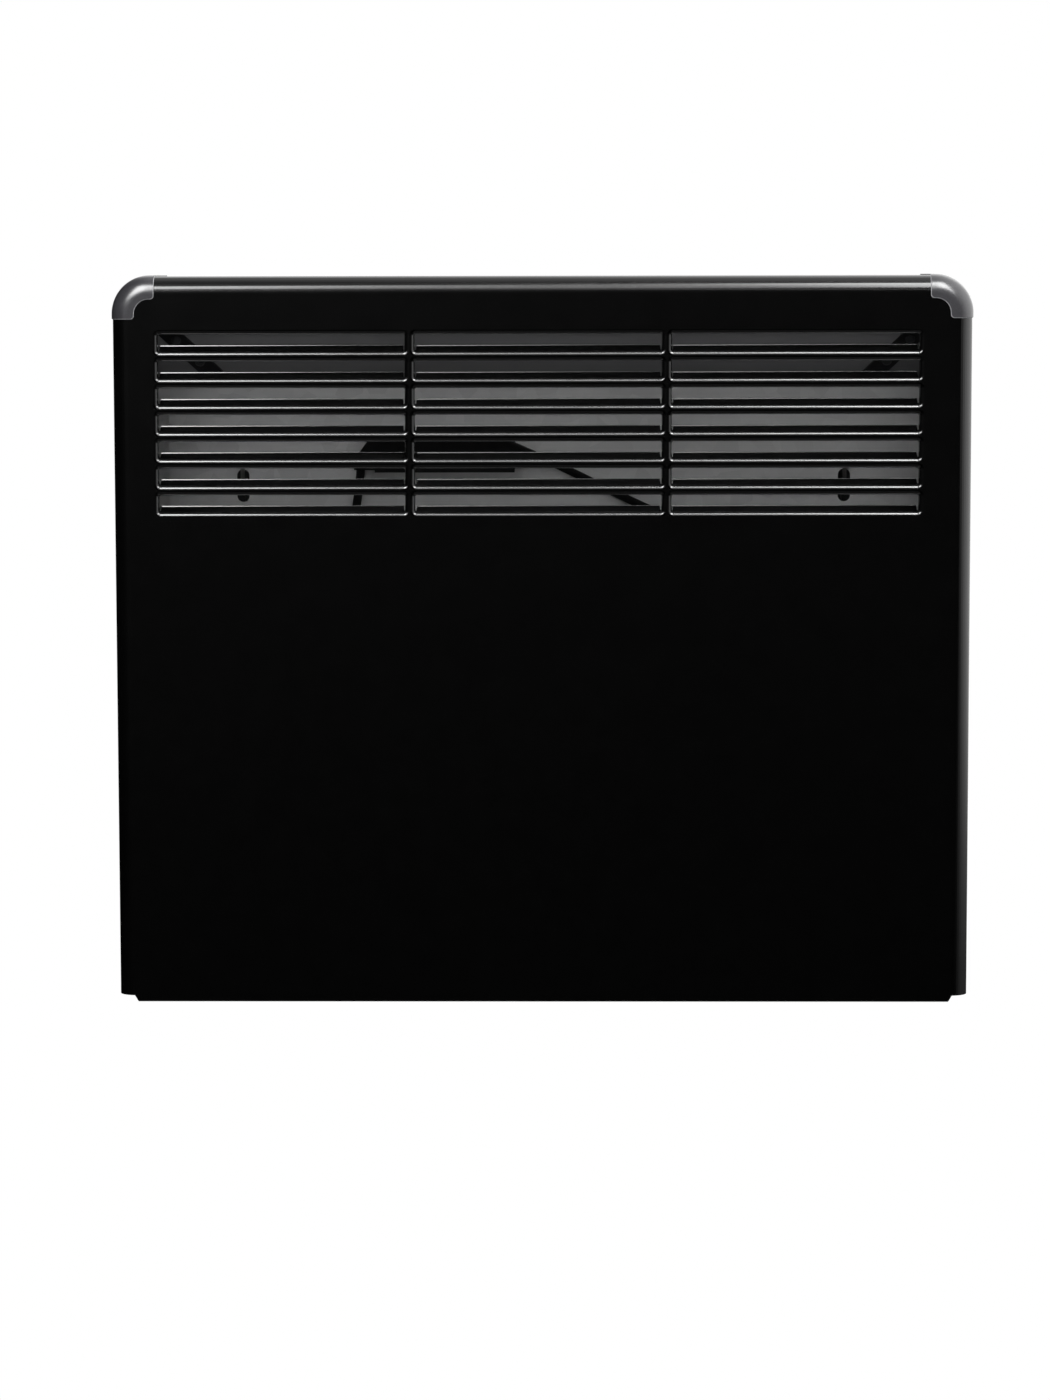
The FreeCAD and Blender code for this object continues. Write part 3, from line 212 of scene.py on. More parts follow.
def polish(tree, shader, factor, gloss, limits=(0.25, 0.75)):
    # noise stays between these limits nearly everywhere
    tree.links.new(rise(tree, factor, *limits, *gloss), shader.inputs["Roughness"])


def bump(tree, shader, height, depth, strength):
    node = tree.nodes.new("ShaderNodeBump")
    node.inputs["Strength"].default_value = strength
    node.inputs["Distance"].default_value = depth
    tree.links.new(height, node.inputs["Height"])
    tree.links.new(node.outputs["Normal"], shader.inputs["Normal"])


# finishes with a build of their own

powderCoat = {
    "dark": (0.00025, 0.00025, 0.00025), "light": (0.0004, 0.0004, 0.0004), "drift": 90,
    "gloss": (0.19, 0.21), "shine": 0.95, "peel": 900, "peelDepth": 0.00001, "peelStrength": 0.15,
    "below": 0.01045, "above": 0.00205, "rowSoft": 0.002, "inset": 0.0003, "columnSoft": 0.0005,
    "upward": (0.2, 0.34), "ledges": (0.8, 0.6), "flow": (0.24, 1.0), "flowGloss": 0.2, "flowBend": 2.2,
}


def makePowderCoat():
    mat, tree, shader = newFinish("blackPowderCoat")
    where = objectCoords(tree)
    drift = noise(tree, where, powderCoat["drift"], detail=4)
    paint(tree, shader, drift, powderCoat)
    polish(tree, shader, drift, powderCoat["gloss"])
    shader.inputs["Specular IOR Level"].default_value = powderCoat["shine"]
    peel = noise(tree, where, powderCoat["peel"], detail=3)
    bump(tree, shader, peel, powderCoat["peelDepth"], powderCoat["peelStrength"])
    columns, rows = slotSpans()
    inset, below, above = (powderCoat[key] for key in ("inset", "below", "above"))
    acrossZones = [(left / perMetre + inset, right / perMetre - inset) for left, right in columns]
    upZone = (rows[-1][0] / perMetre - below, rows[0][1] / perMetre + above)
    inRows = between(tree, along(tree, where, "Z"), [upZone], powderCoat["rowSoft"])
    inColumns = between(tree, along(tree, where, "X"), acrossZones, powderCoat["columnSoft"])
    lean = along(tree, tree.nodes.new("ShaderNodeTexCoord").outputs["Normal"], "Z")
    leaning = [rise(tree, lean, *powderCoat[key]) for key in ("upward", "ledges")]
    upward = maths(tree, "MULTIPLY", *leaning)  # the rims, but not the flat ledges behind them
    rims = maths(tree, "MULTIPLY", maths(tree, "MULTIPLY", inRows, inColumns), upward)
    thin, thick = powderCoat["flow"]  # the coat flows together over the long rims
    weight = maths(tree, "ADD", maths(tree, "MULTIPLY", rims, thick - thin), thin)
    tree.links.new(weight, shader.inputs["Coat Weight"])
    shader.inputs["Coat Roughness"].default_value = powderCoat["flowGloss"]
    shader.inputs["Coat IOR"].default_value = powderCoat["flowBend"]
    return mat


capGrey = {
    "dark": (0.035, 0.034, 0.038), "light": (0.056, 0.055, 0.062), "stops": (0.2, 0.85),
    "flake": 2600, "drift": 40, "gloss": (0.24, 0.28), "shine": 1.0, "lacquer": 1.0, "lacquerGloss": 0.29,
    "lacquerBend": 1.85, "grain": 1800, "grainDepth": 0.00002, "grainStrength": 0.15,
}


def makeCapGrey():
    mat, tree, shader = newFinish("capGrey")
    where = objectCoords(tree)
    paint(tree, shader, cells(tree, where, capGrey["flake"]), capGrey)
    polish(tree, shader, noise(tree, where, capGrey["drift"], detail=4), capGrey["gloss"])
    shader.inputs["Specular IOR Level"].default_value = capGrey["shine"]
    shader.inputs["Coat Weight"].default_value = capGrey["lacquer"]
    shader.inputs["Coat Roughness"].default_value = capGrey["lacquerGloss"]
    shader.inputs["Coat IOR"].default_value = capGrey["lacquerBend"]
    grain = noise(tree, where, capGrey["grain"])
    bump(tree, shader, grain, capGrey["grainDepth"], capGrey["grainStrength"])
    return mat


zinc = {
    "dark": (0.72, 0.72, 0.72), "light": (0.88, 0.88, 0.88), "stops": (0.15, 0.9), "spangle": 95,
    "streakDark": (0.78, 0.78, 0.78), "streakLight": (0.84, 0.84, 0.84), "patches": 5,
    "gloss": (0.42, 0.5), "metal": 0.15, "rolling": (6, 6, 420), "streaks": 3, "depth": 0.00002,
    "strength": 0.25,
}
# painted shade on the air deflector's slope, darker towards its lower end
deflectorShade = {"low": (0.165, 0.165, 0.169), "high": (0.32, 0.32, 0.327), "stops": (0.1, 0.9),
         "from": 0.00945, "to": 0.01065, "top": 0.03725}  # heights above the deflector's lower edge


def makeZinc(name, shadeSlope=False):
    mat, tree, shader = newFinish(name)
    where = objectCoords(tree)
    rolled = noise(tree, objectCoords(tree, zinc["rolling"]), zinc["streaks"], detail=3)
    spangle = cells(tree, where, zinc["spangle"])
    tone = twoTone(tree, spangle, zinc["dark"], zinc["light"], zinc["stops"])
    streak = twoTone(tree, rolled, zinc["streakDark"], zinc["streakLight"])
    colour = mixed(tree, noise(tree, where, zinc["patches"], detail=1), tone, streak)
    if shadeSlope:
        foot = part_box("air_deflector")[0].z
        shadeFrom, shadeTo, shadeTop = (foot + deflectorShade[key] for key in ("from", "to", "top"))
        height = along(tree, where, "Z")
        shadeMask = rise(tree, height, shadeFrom, shadeTo)  # painted shade on the slope, none on the foot
        # the painted shade grows darker down the slope
        upSlope = rise(tree, height, shadeTo, shadeTop)
        tones = twoTone(tree, upSlope, deflectorShade["low"], deflectorShade["high"], deflectorShade["stops"])
        colour = mixed(tree, shadeMask, colour, tones)
    tree.links.new(colour, shader.inputs["Base Color"])
    polish(tree, shader, rolled, zinc["gloss"])
    shader.inputs["Metallic"].default_value = zinc["metal"]
    bump(tree, shader, rolled, zinc["depth"], zinc["strength"])
    return mat


# near-black paint is painted shade behind the hook slots; the light uncoated tips are wear and a painted
# highlight
shadedHookPaint = {
    "dark": (0.006, 0.006, 0.006), "light": (0.010, 0.010, 0.010), "bare": (0.5, 0.49, 0.47),
    "bareDepth": 0.0035, "bareOver": 0.002, "drift": 120, "gloss": (0.35, 0.45),
    "grain": 900, "grainDepth": 0.00003, "grainStrength": 0.3,
}


def makeShadedHookPaint():
    mat, tree, shader = newFinish("shadedHookPaint")
    where = objectCoords(tree)
    drift = noise(tree, where, shadedHookPaint["drift"], detail=4)
    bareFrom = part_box("wall_bracket")[0].y + shadedHookPaint["bareDepth"]  # rubbed off the tips of the hooks, and a painted highlight on their edges
    wornAndLitTips = rise(tree, along(tree, where, "Y"), bareFrom, bareFrom - shadedHookPaint["bareOver"])
    shadeTone = twoTone(tree, drift, shadedHookPaint["dark"], shadedHookPaint["light"])
    tree.links.new(mixed(tree, wornAndLitTips, shadeTone, shadedHookPaint["bare"]), shader.inputs["Base Color"])
    tree.links.new(wornAndLitTips, shader.inputs["Metallic"])
    polish(tree, shader, drift, shadedHookPaint["gloss"])
    grain = noise(tree, where, shadedHookPaint["grain"])
    bump(tree, shader, grain, shadedHookPaint["grainDepth"], shadedHookPaint["grainStrength"])
    return mat


finAluminium = {"dark": (0.50, 0.50, 0.51), "light": (0.66, 0.66, 0.67), "gloss": (0.3, 0.45),
                "dieLines": (4, 700, 700), "streaks": 2, "depth": 0.00002, "strength": 0.4}


def makeFinAluminium():
    mat, tree, shader = newFinish("finAluminium")
    alongBar = objectCoords(tree, finAluminium["dieLines"])  # die lines run along the bar
    drawn = noise(tree, alongBar, finAluminium["streaks"], detail=3)
    paint(tree, shader, drawn, finAluminium)
    polish(tree, shader, drawn, finAluminium["gloss"])
    shader.inputs["Metallic"].default_value = 1.0
    bump(tree, shader, drawn, finAluminium["depth"], finAluminium["strength"])
    return mat


sleeve = {"dark": (0.0015, 0.0015, 0.0017), "light": (0.006, 0.006, 0.0065), "stops": (0.1, 0.9),
          "gloss": (0.55, 0.75), "weave": 900, "waviness": 1.5, "wear": 120, "depth": 0.00008,
          "strength": 0.5}


def makeSleeve():
    mat, tree, shader = newFinish("blackSleeve")
    where = objectCoords(tree)
    strands = wave(tree, where, "DIAGONAL", sleeve["weave"], sleeve["waviness"])  # heat-proof braid
    paint(tree, shader, strands, sleeve)
    polish(tree, shader, noise(tree, where, sleeve["wear"], detail=3), sleeve["gloss"])
    bump(tree, shader, strands, sleeve["depth"], sleeve["strength"])
    return mat


lampLens = {"dark": (0.62, 0.17, 0.02), "light": (0.90, 0.36, 0.06), "stops": (0.2, 0.8), "ribs": 420,
            "gloss": 0.14, "clear": 0.35, "depth": 0.00012, "strength": 0.5}


def makeLampLens():
    mat, tree, shader = newFinish("amberLens")
    ribs = wave(tree, objectCoords(tree), "Z", lampLens["ribs"])
    paint(tree, shader, ribs, lampLens)
    shader.inputs["Roughness"].default_value = lampLens["gloss"]
    shader.inputs["Transmission Weight"].default_value = lampLens["clear"]
    bump(tree, shader, ribs, lampLens["depth"], lampLens["strength"])
    return mat


earthWire = {"dark": (0.02, 0.16, 0.03), "light": (0.62, 0.48, 0.03), "stops": (0.45, 0.55),
             "stripes": 260, "gloss": (0.35, 0.5), "wear": 150}


def makeEarthWire():
    mat, tree, shader = newFinish("greenYellowWire")
    where = objectCoords(tree)
    paint(tree, shader, wave(tree, where, "DIAGONAL", earthWire["stripes"]), earthWire)
    polish(tree, shader, noise(tree, where, earthWire["wear"], detail=3), earthWire["gloss"])
    return mat


# plain finishes: a tone that drifts over the surface, and a fine grain

plainDefaults = {"drift": (55, 4, 0.5), "grain": (900, 3), "depth": 0.00003, "strength": 0.35,
                 "metal": 0.0}  # drift and grain hold the scale, detail and roughness of their noise
plainFinishes = {
    "strapPaint": {"dark": (0.010, 0.010, 0.011), "light": (0.022, 0.022, 0.024), "gloss": (0.4, 0.55),
                   "drift": (60, 4, 0.5), "grain": (900, 2), "depth": 0.00004, "strength": 0.3},
    "ceramicBush": {"dark": (0.62, 0.58, 0.51), "light": (0.80, 0.77, 0.70), "gloss": (0.6, 0.8),
                    "drift": (420, 5, 0.7), "stops": (0.35, 0.6), "grain": (1500, 3), "depth": 0.00006,
                    "strength": 0.4},
    "platedSteel": {"dark": (0.46, 0.45, 0.42), "light": (0.64, 0.63, 0.60), "gloss": (0.22, 0.36),
                    "drift": (260, 4, 0.5), "grain": (2200, 2), "depth": 0.00002, "strength": 0.3,
                    "metal": 1.0},
    # near black: painted shade on the cut-out's clip
    "clipShadeBlack": {"dark": (0.008, 0.008, 0.0085), "light": (0.013, 0.013, 0.0135), "gloss": (0.4, 0.5)},
    "controlBlack": {"dark": (0.014, 0.014, 0.015), "light": (0.026, 0.026, 0.027), "gloss": (0.42, 0.55),
                     "grain": (1700, 3), "depth": 0.00006},
    "rockerBlack": {"dark": (0.010, 0.010, 0.011), "light": (0.018, 0.018, 0.019), "gloss": (0.12, 0.2),
                    "grain": (500, 3), "depth": 0.00001},
    "blockWhite": {"dark": (0.66, 0.65, 0.61), "light": (0.78, 0.77, 0.73), "gloss": (0.35, 0.5)},
    "grommetRubber": {"dark": (0.012, 0.012, 0.012), "light": (0.024, 0.024, 0.024), "gloss": (0.6, 0.75),
                      "grain": (1200, 3), "depth": 0.00006},
    "brownWire": {"dark": (0.09, 0.035, 0.014), "light": (0.14, 0.058, 0.024), "gloss": (0.35, 0.5),
                  "grain": (1100, 3), "depth": 0.00002},
    "blueWire": {"dark": (0.015, 0.06, 0.22), "light": (0.03, 0.10, 0.32), "gloss": (0.35, 0.5),
                 "grain": (1100, 3), "depth": 0.00002},
    "printWhite": {"dark": (0.52, 0.52, 0.50), "light": (0.66, 0.66, 0.64), "gloss": (0.5, 0.62),
                   "grain": (1500, 3), "depth": 0.00002},
    "rivetSteel": {"dark": (0.03, 0.031, 0.033), "light": (0.055, 0.057, 0.06), "gloss": (0.25, 0.35),
                   "depth": 0.00002},
    # light silver bead colour: a painted highlight on the corner caps' lit edges
    "seamHighlightSilver": {"dark": (0.46, 0.46, 0.48), "light": (0.58, 0.58, 0.60), "gloss": (0.3, 0.42),
                   "grain": (1400, 3), "depth": 0.00001},
}


def makePlain(name):
    values = {**plainDefaults, **plainFinishes[name]}
    mat, tree, shader = newFinish(name)
    where = objectCoords(tree)
    drift = noise(tree, where, *values["drift"])
    paint(tree, shader, drift, values)
    polish(tree, shader, drift, values["gloss"])
    shader.inputs["Metallic"].default_value = values["metal"]
    bump(tree, shader, noise(tree, where, *values["grain"]), values["depth"], values["strength"])
    return mat


finishes = {
    "blackPowderCoat": makePowderCoat(), "capGrey": makeCapGrey(), "zincSheet": makeZinc("zincSheet"),
    "deflectorZinc": makeZinc("deflectorZinc", shadeSlope=True), "shadedHookPaint": makeShadedHookPaint(),
    "finAluminium": makeFinAluminium(), "blackSleeve": makeSleeve(), "amberLens": makeLampLens(),
    "greenYellowWire": makeEarthWire(),
}
finishes.update((name, makePlain(name)) for name in plainFinishes)

nodesWith = {
    "blackPowderCoat": ["front_panel"],
    "capGrey": ["corner_cap_left", "corner_cap_right"],
    "zincSheet": ["rear_panel", "element_bracket_left", "element_bracket_right", "inlet_bracket"],
    "deflectorZinc": ["air_deflector"],
    "shadedHookPaint": ["wall_bracket"],
    "clipShadeBlack": ["cutout_clip"],
    "strapPaint": ["cap_strap_left", "cap_strap_right"],
    "finAluminium": ["element_core"],
    "ceramicBush": ["element_insulator_left", "element_insulator_right"],
    "platedSteel": ["element_terminals", "earth_stud", "rear_panel_screws", "element_screws",
                    "thermostat_shaft"],
    "blackSleeve": ["thermal_cutout", "cutout_lead_left", "cutout_lead_right"],
    "controlBlack": ["control_bezel", "thermostat_body", "thermostat_knob", "switch_housing",
                     "wall_spacers"],
    "rockerBlack": ["switch_rocker"],
    "amberLens": ["pilot_lens"],
    "blockWhite": ["terminal_block"],
    "grommetRubber": ["cable_gland"],
    "brownWire": ["live_lead"],
    "blueWire": ["neutral_lead"],
    "greenYellowWire": ["earth_lead"],
}
finishOf = {node: finishes[name] for name, owners in nodesWith.items() for node in owners}
for name, node in nodes.items():
    for index in range(max(1, len(node.data.materials))):
        if index < len(node.material_slots):
            node.material_slots[index].material = finishOf[name]
        else:
            node.data.materials.append(finishOf[name])
print("finishes on", len(finishOf), "nodes")


# sharp moulded edges get a small round so that they catch the light

edgeRound = {"corner_cap_left": 0.00035, "corner_cap_right": 0.00035, "control_bezel": 0.0003,
             "thermostat_knob": 0.0003, "switch_rocker": 0.0002, "switch_housing": 0.0002,
             "terminal_block": 0.0003, "cable_gland": 0.0004, "wall_spacers": 0.0004}
edgeShape = {"segments": 2, "angle": 40}
for name, width in edgeRound.items():
    soft = nodes[name].modifiers.new("edgeRound", "BEVEL")
    soft.width = width
    soft.segments = edgeShape["segments"]
    soft.limit_method = "ANGLE"
    soft.angle_limit = math.radians(edgeShape["angle"])
print("edges rounded on", len(edgeRound), "nodes")


# small helpers for meshes, with lengths in millimetres until mm() or metres() takes them to metres

ahead, upright, sideways = Vector((0, -1, 0)), Vector((0, 0, 1)), Vector((1, 0, 0))
weld = 0.000001  # points closer than this are one


def mm(*values):
    return Vector(value / perMetre for value in values)


def metres(values, *keys):
    return [values[key] / perMetre for key in keys]


def newObject(name, data):
    thing = bpy.data.objects.new(name, data)
    scene.collection.objects.link(thing)
    return thing


def newPiece(name, bm, finish, body="casing", sharp=35):
    mesh = bpy.data.meshes.new(name)
    bmesh.ops.remove_doubles(bm, verts=bm.verts, dist=weld)
    bmesh.ops.recalc_face_normals(bm, faces=bm.faces)
    bm.to_mesh(mesh)
    bm.free()
    mesh.shade_smooth()
    mesh.set_sharp_from_angle(angle=math.radians(sharp))
    mesh.materials.append(finishes[finish])
    piece = newObject(name, mesh)
    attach(piece, body)
    return piece


def skin(bm, rings):
    for first, second in zip(rings, rings[1:]):
        count = max(len(first), len(second))
        for i in range(count):
            corners = [first[i % len(first)], first[(i + 1) % len(first)],
                       second[(i + 1) % len(second)], second[i % len(second)]]
            bm.faces.new(list(dict.fromkeys(corners)))


def circle(bm, middle, across, other, radius, sides):
    turns = [2 * math.pi * k / sides for k in range(sides)]
    return [bm.verts.new(middle + (across * math.cos(a) + other * math.sin(a)) * radius) for a in turns]


def sweepTube(bm, points, radius, sides=10):
    rings, across = [], None
    for i, point in enumerate(points):
        run = (points[min(i + 1, len(points) - 1)] - points[max(i - 1, 0)]).normalized()
        across = run.orthogonal() if across is None else across
        across = (across - run * across.dot(run)).normalized()
        rings.append(circle(bm, point, across, run.cross(across), radius, sides))
    skin(bm, rings)
    bm.faces.new(rings[0])
    bm.faces.new(rings[-1])


def turned(bm, profile, at, axis, segments=28):
    # profile holds (distance along the axis, radius) pairs, a radius of 0 closes it
    across = axis.orthogonal().normalized()
    other = axis.cross(across)
    skin(bm, [circle(bm, at + axis * reach, across, other, radius, segments if radius else 1)
              for reach, radius in profile])


def arcPoints(centre, first, second, radius, steps):
    turns = [math.pi / 2 * k / steps for k in range(steps + 1)]
    return [centre + (first * math.cos(a) + second * math.sin(a)) * radius for a in turns]


# casing sheet with the corners of its pressed slots drawn to a small round, as a press tool leaves them

slotCorner = {"nip": 1.5, "round": 0.6, "steps": 6, "collar": (-0.05, 3.2), "roll": 2.51, "around": 3,
              "near": 0.02, "fewest": 3}  # the collar and the roll reach back from the casing's front


def widened(face, first, second, extra):
    # the corners of a face with extra ones put between two neighbours
    corners = list(face.verts)
    for i, corner in enumerate(corners):
        after = corners[(i + 1) % len(corners)]
        if corner is first and after is second:
            return corners[:i + 1] + extra + corners[i + 1:]
        if corner is second and after is first:
            return corners[:i + 1] + extra[::-1] + corners[i + 1:]
    return corners


def rimEnds(verts, cornerX, inX, cornerZ, inZ):
    # where the rolled rim of the long side and that of the short side stop, from the front to the back
    nip, near = slotCorner["nip"], slotCorner["near"]
    slope = math.tan(math.pi / 8)  # the rims stop along the line that halves the corner of the nip
    longEnds, shortEnds = [], []
    for vert in verts:
        x, y, z = vert.co * perMetre
        u, v = (x - cornerX) * inX, (z - cornerZ) * inZ
        if v < near / 2 and abs(u - nip - slope * v) < near:
            longEnds.append((y, -v, vert))
        elif u < near / 2 and abs(v - nip - slope * u) < near:
            shortEnds.append((y, -u, vert))
    return [sorted(ends, key=lambda end: end[0]) for ends in (longEnds, shortEnds)]


def roundSlotCorner(bm, verts, cornerX, inX, cornerZ, inZ):
    small, steps = slotCorner["round"], slotCorner["steps"]
    rollEnd = casingLow.y + slotCorner["roll"]
    longEnds, shortEnds = rimEnds(verts, cornerX, inX, cornerZ, inZ)
    rolls = [[end for end in ends if end[0] < rollEnd] for ends in (longEnds, shortEnds)]
    if len(rolls[0]) != len(rolls[1]) or len(rolls[0]) < slotCorner["fewest"]:
        return 0  # the rims don't pair up, so the corner stays as it is
    rolled = [end[2] for ends in rolls for end in ends]
    beside = dict.fromkeys(face for vert in rolled for face in vert.link_faces)  # in the same order each run
    doomed = [face for face in beside if all(vert in rolled for vert in face.verts)]
    chains = []
    for (y, reach, first), (_, _, second) in zip(*rolls):
        chain = [first]
        for k in range(1, steps):
            turn = math.pi / 2 * k / steps
            u, v = small - (small + reach) * math.sin(turn), small - (small + reach) * math.cos(turn)
            chain.append(bm.verts.new(mm(cornerX + inX * u, y, cornerZ + inZ * v)))
        chains.append(chain + [second])
    for chain in (chains[0], chains[-1]):
        first, second = chain[0], chain[-1]
        for face in [face for face in first.link_faces if second in face.verts and face not in doomed]:
            bm.faces.new(widened(face, first, second, chain[1:-1]))
            doomed.append(face)
    bmesh.ops.delete(bm, geom=doomed, context="FACES")
    for one, two in zip(chains, chains[1:]):
        for k in range(steps):
            bm.faces.new([one[k], one[k + 1], two[k + 1], two[k]])
    for _, _, vert in longEnds:
        vert.co.x = (cornerX + inX * small) / perMetre
    for _, _, vert in shortEnds:
        vert.co.z = (cornerZ + inZ * small) / perMetre
    return 1


def makeCasingSheet():
    bm = bmesh.new()
    bm.from_mesh(nodes["front_panel"].data)
    bmesh.ops.remove_doubles(bm, verts=bm.verts, dist=2 * weld)
    nearest, furthest = ((casingLow.y + depth) / perMetre for depth in slotCorner["collar"])
    rims = [vert for vert in bm.verts if nearest < vert.co.y < furthest]
    columns, rows = slotSpans()
    done = 0
    for left, right in columns:
        for cornerX, inX in ((left, 1), (right, -1)):
            beside = [vert for vert in rims if abs(vert.co.x * perMetre - cornerX) < slotCorner["around"]]
            for low, high in rows:
                for cornerZ, inZ in ((low, 1), (high, -1)):
                    done += roundSlotCorner(bm, beside, cornerX, inX, cornerZ, inZ)
    piece = newPiece("casingSheet", bm, "blackPowderCoat")
    even = piece.modifiers.new("evenShade", "WEIGHTED_NORMAL")
    even.keep_sharp = True
    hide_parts("front_panel")
    print("casing sheet made,", done, "slot corners rounded")


makeCasingSheet()


# thin silver bead round the edge of each corner cap, at its join with the casing; its light colour is a
# painted highlight on the lit edge

capSeamHighlight = {"thickness": 0.18, "proud": 0.12, "gap": 0.15, "bend": 9, "bendSteps": 10, "corner": 1.7,
           "cornerSteps": 5, "elbow": 2.5, "inner": 7.95, "elbowSteps": 12}


def makeCapSeamHighlight(name, side):
    proud, gap, corner, inner = (capSeamHighlight[key] for key in ("proud", "gap", "corner", "inner"))
    bend, elbow = capSeamHighlight["bend"], capSeamHighlight["elbow"]
    over, small, wide = (capSeamHighlight[key] for key in ("bendSteps", "cornerSteps", "elbowSteps"))
    capLow = boxOf("corner_cap_right")[0]
    endX, endZ = capLow.x - gap, capLow.z - gap
    face, start = casingLow.y - proud, casingLow.y + bend
    elbowX, elbowZ = endX + elbow, endZ + elbow
    arcs = [  # over the top bend, round the elbow and over the side bend
        ((endX, start, casingHigh.z - bend), upright, ahead, bend + proud, over),
        ((endX + corner, face, elbowZ + inner + corner), -sideways, -upright, corner, small),
        ((elbowX, face, elbowZ), upright, sideways, inner, wide),
        ((elbowX + inner + corner, face, endZ + corner), -sideways, -upright, corner, small),
        ((casingHigh.x - bend, start, endZ), ahead, sideways, bend + proud, over),
    ]
    points = []
    for centre, first, second, radius, steps in arcs:
        points += arcPoints(mm(*centre), first, second, radius / perMetre, steps)
    bm = bmesh.new()
    mirrored = [Vector((side * point.x, point.y, point.z)) for point in points]
    sweepTube(bm, mirrored, capSeamHighlight["thickness"] / perMetre)
    newPiece(name, bm, "seamHighlightSilver")


makeCapSeamHighlight("capSeam_left", -1)
makeCapSeamHighlight("capSeam_right", 1)
print("cap seams made")


# screws with pressed recesses

headGrid = [0.1, 0.13, 0.3, 0.46, 0.5, 0.65, 0.8, 0.93, 1]  # shares of the head's radius
headShape = {"arm": 0.46, "slot": 0.8, "slit": 0.10, "squareTo": 0.5, "roundFrom": 0.8, "dome": 0.3}
screw = {"radius": 3.6, "height": 2.0, "recess": 1.1, "shank": 2.0, "length": 4.0, "pitch": 0.8,
         "thread": 0.35, "sides": 20, "fromEdge": 14}


def pressedHead(bm, seat, out, radius, height, recess, cross=True):
    across = out.orthogonal().normalized()
    other = out.cross(across)
    slit, arm = headShape["slit"], headShape["arm"]
    squareTo, turning = headShape["squareTo"], headShape["roundFrom"] - headShape["squareTo"]
    steps = [-share for share in reversed(headGrid)] + headGrid
    grid = []
    for u in steps:
        row = []
        for v in steps:
            wide, long = max(abs(u), abs(v)), math.hypot(u, v)
            blend = min(1, max(0, (wide - squareTo) / turning))
            pull = 1 - blend + blend * wide / long  # square in the middle, round at the rim
            distance = wide if blend == 1 else long * pull
            lift = height * (1 - headShape["dome"] * distance ** 4)
            inSlit = abs(u) <= slit and abs(v) <= (arm if cross else headShape["slot"])
            inCross = cross and abs(v) <= slit and abs(u) <= arm
            if inSlit or inCross:
                lift -= recess
            row.append(bm.verts.new(seat + (across * u + other * v) * pull * radius + out * lift))
        grid.append(row)
    last = len(steps) - 1
    for i in range(last):
        for j in range(last):
            bm.faces.new([grid[i][j], grid[i + 1][j], grid[i + 1][j + 1], grid[i][j + 1]])
    rim = ([grid[i][0] for i in range(last)] + [grid[last][j] for j in range(last)]
           + [grid[i][last] for i in range(last, 0, -1)] + [grid[0][j] for j in range(last, 0, -1)])
    foot = [bm.verts.new(vert.co - out * (vert.co - seat).dot(out)) for vert in rim]
    skin(bm, [rim, foot])
    bm.faces.new(foot)


def makeScrews(name, node, heights, facing):
    # facing is 1 for heads to the back and -1 for heads to the front
    bm = bmesh.new()
    out = Vector((0, facing, 0))
    low, high = boxOf(node)
    seatY = (high.y if facing > 0 else low.y) - facing * screw["height"]
    aside = high.x - screw["radius"]
    shank, length, pitch, thread = metres(screw, "shank", "length", "pitch", "thread")
    groove = shank - thread
    profile, depth = [(0, 0), (0, shank)], 0
    while depth + pitch < length:
        profile += [(depth + pitch / 2, groove), (depth + pitch, shank)]
        depth += pitch
    profile.append((length, 0))
    for x in (-aside, aside):
        for z in heights:
            seat = mm(x, seatY, z)
            pressedHead(bm, seat, out, *metres(screw, "radius", "height", "recess"))
            turned(bm, profile, seat, -out, screw["sides"])
    piece = newPiece(name, bm, "platedSteel")
    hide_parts(node)


rearLow, rearHigh = boxOf("rear_panel")
rearHeights = [rearLow.z + screw["fromEdge"], rearHigh.z - screw["fromEdge"]]
makeScrews("rearScrews", "rear_panel_screws", rearHeights, 1)
makeScrews("elementScrews", "element_screws", [middleOf("element_screws").z], -1)
print("screws made")


# rivets on the straps, seen through the top row of slots

strapRivet = {
    "radius": 2.6, "height": 1.0, "places": (0.3, 0.62), "lift": 2.4, "strapLength": 46.19,
    "strapWidth": 13, "footOut": 1.2, "footUp": 8.1, "lean": 36.763,
    "dome": ((-0.25, 0), (-0.25, 1), (0.25, 1), (0.62, 0.86), (0.88, 0.6), (1, 0.3), (1, 0)),
}


def makeStrapRivets(name, side):
    bm = bmesh.new()
    lean = math.radians(strapRivet["lean"])  # of the deflector's slope, from upright
    runY, runZ = math.sin(lean), math.cos(lean)
    deflectorLow, deflectorHigh = boxOf("air_deflector")
    footY, footZ = deflectorHigh.y - strapRivet["footOut"], deflectorLow.z + strapRivet["footUp"]
    strapLow, strapHigh = boxOf("cap_strap_right")
    footX = strapLow.x + strapRivet["strapWidth"] / 2
    spread = strapHigh.x - strapLow.x - strapRivet["strapWidth"]
    radius, height = metres(strapRivet, "radius", "height")
    dome = [(height * reach, radius * share) for reach, share in strapRivet["dome"]]
    for place in strapRivet["places"]:
        climb = strapRivet["lift"] + strapRivet["strapLength"] * place
        x = footX + spread * place
        seat = mm(side * x, footY - runY * climb, footZ + runZ * climb)
        turned(bm, dome, seat, Vector((0, -runZ, -runY)))  # square to the slope
    newPiece(name, bm, "rivetSteel")


makeStrapRivets("strapRivets_left", -1)
makeStrapRivets("strapRivets_right", 1)
print("strap rivets made")


# printed marks on the controls

softEdge = 0.6  # share of a mark's thickness that its rounded edge takes
endSteps = 8  # steps round each end of a bar
tubWall = 1.8
controlFloor = boxOf("control_bezel")[0].x + tubWall  # floor of the controls' tub


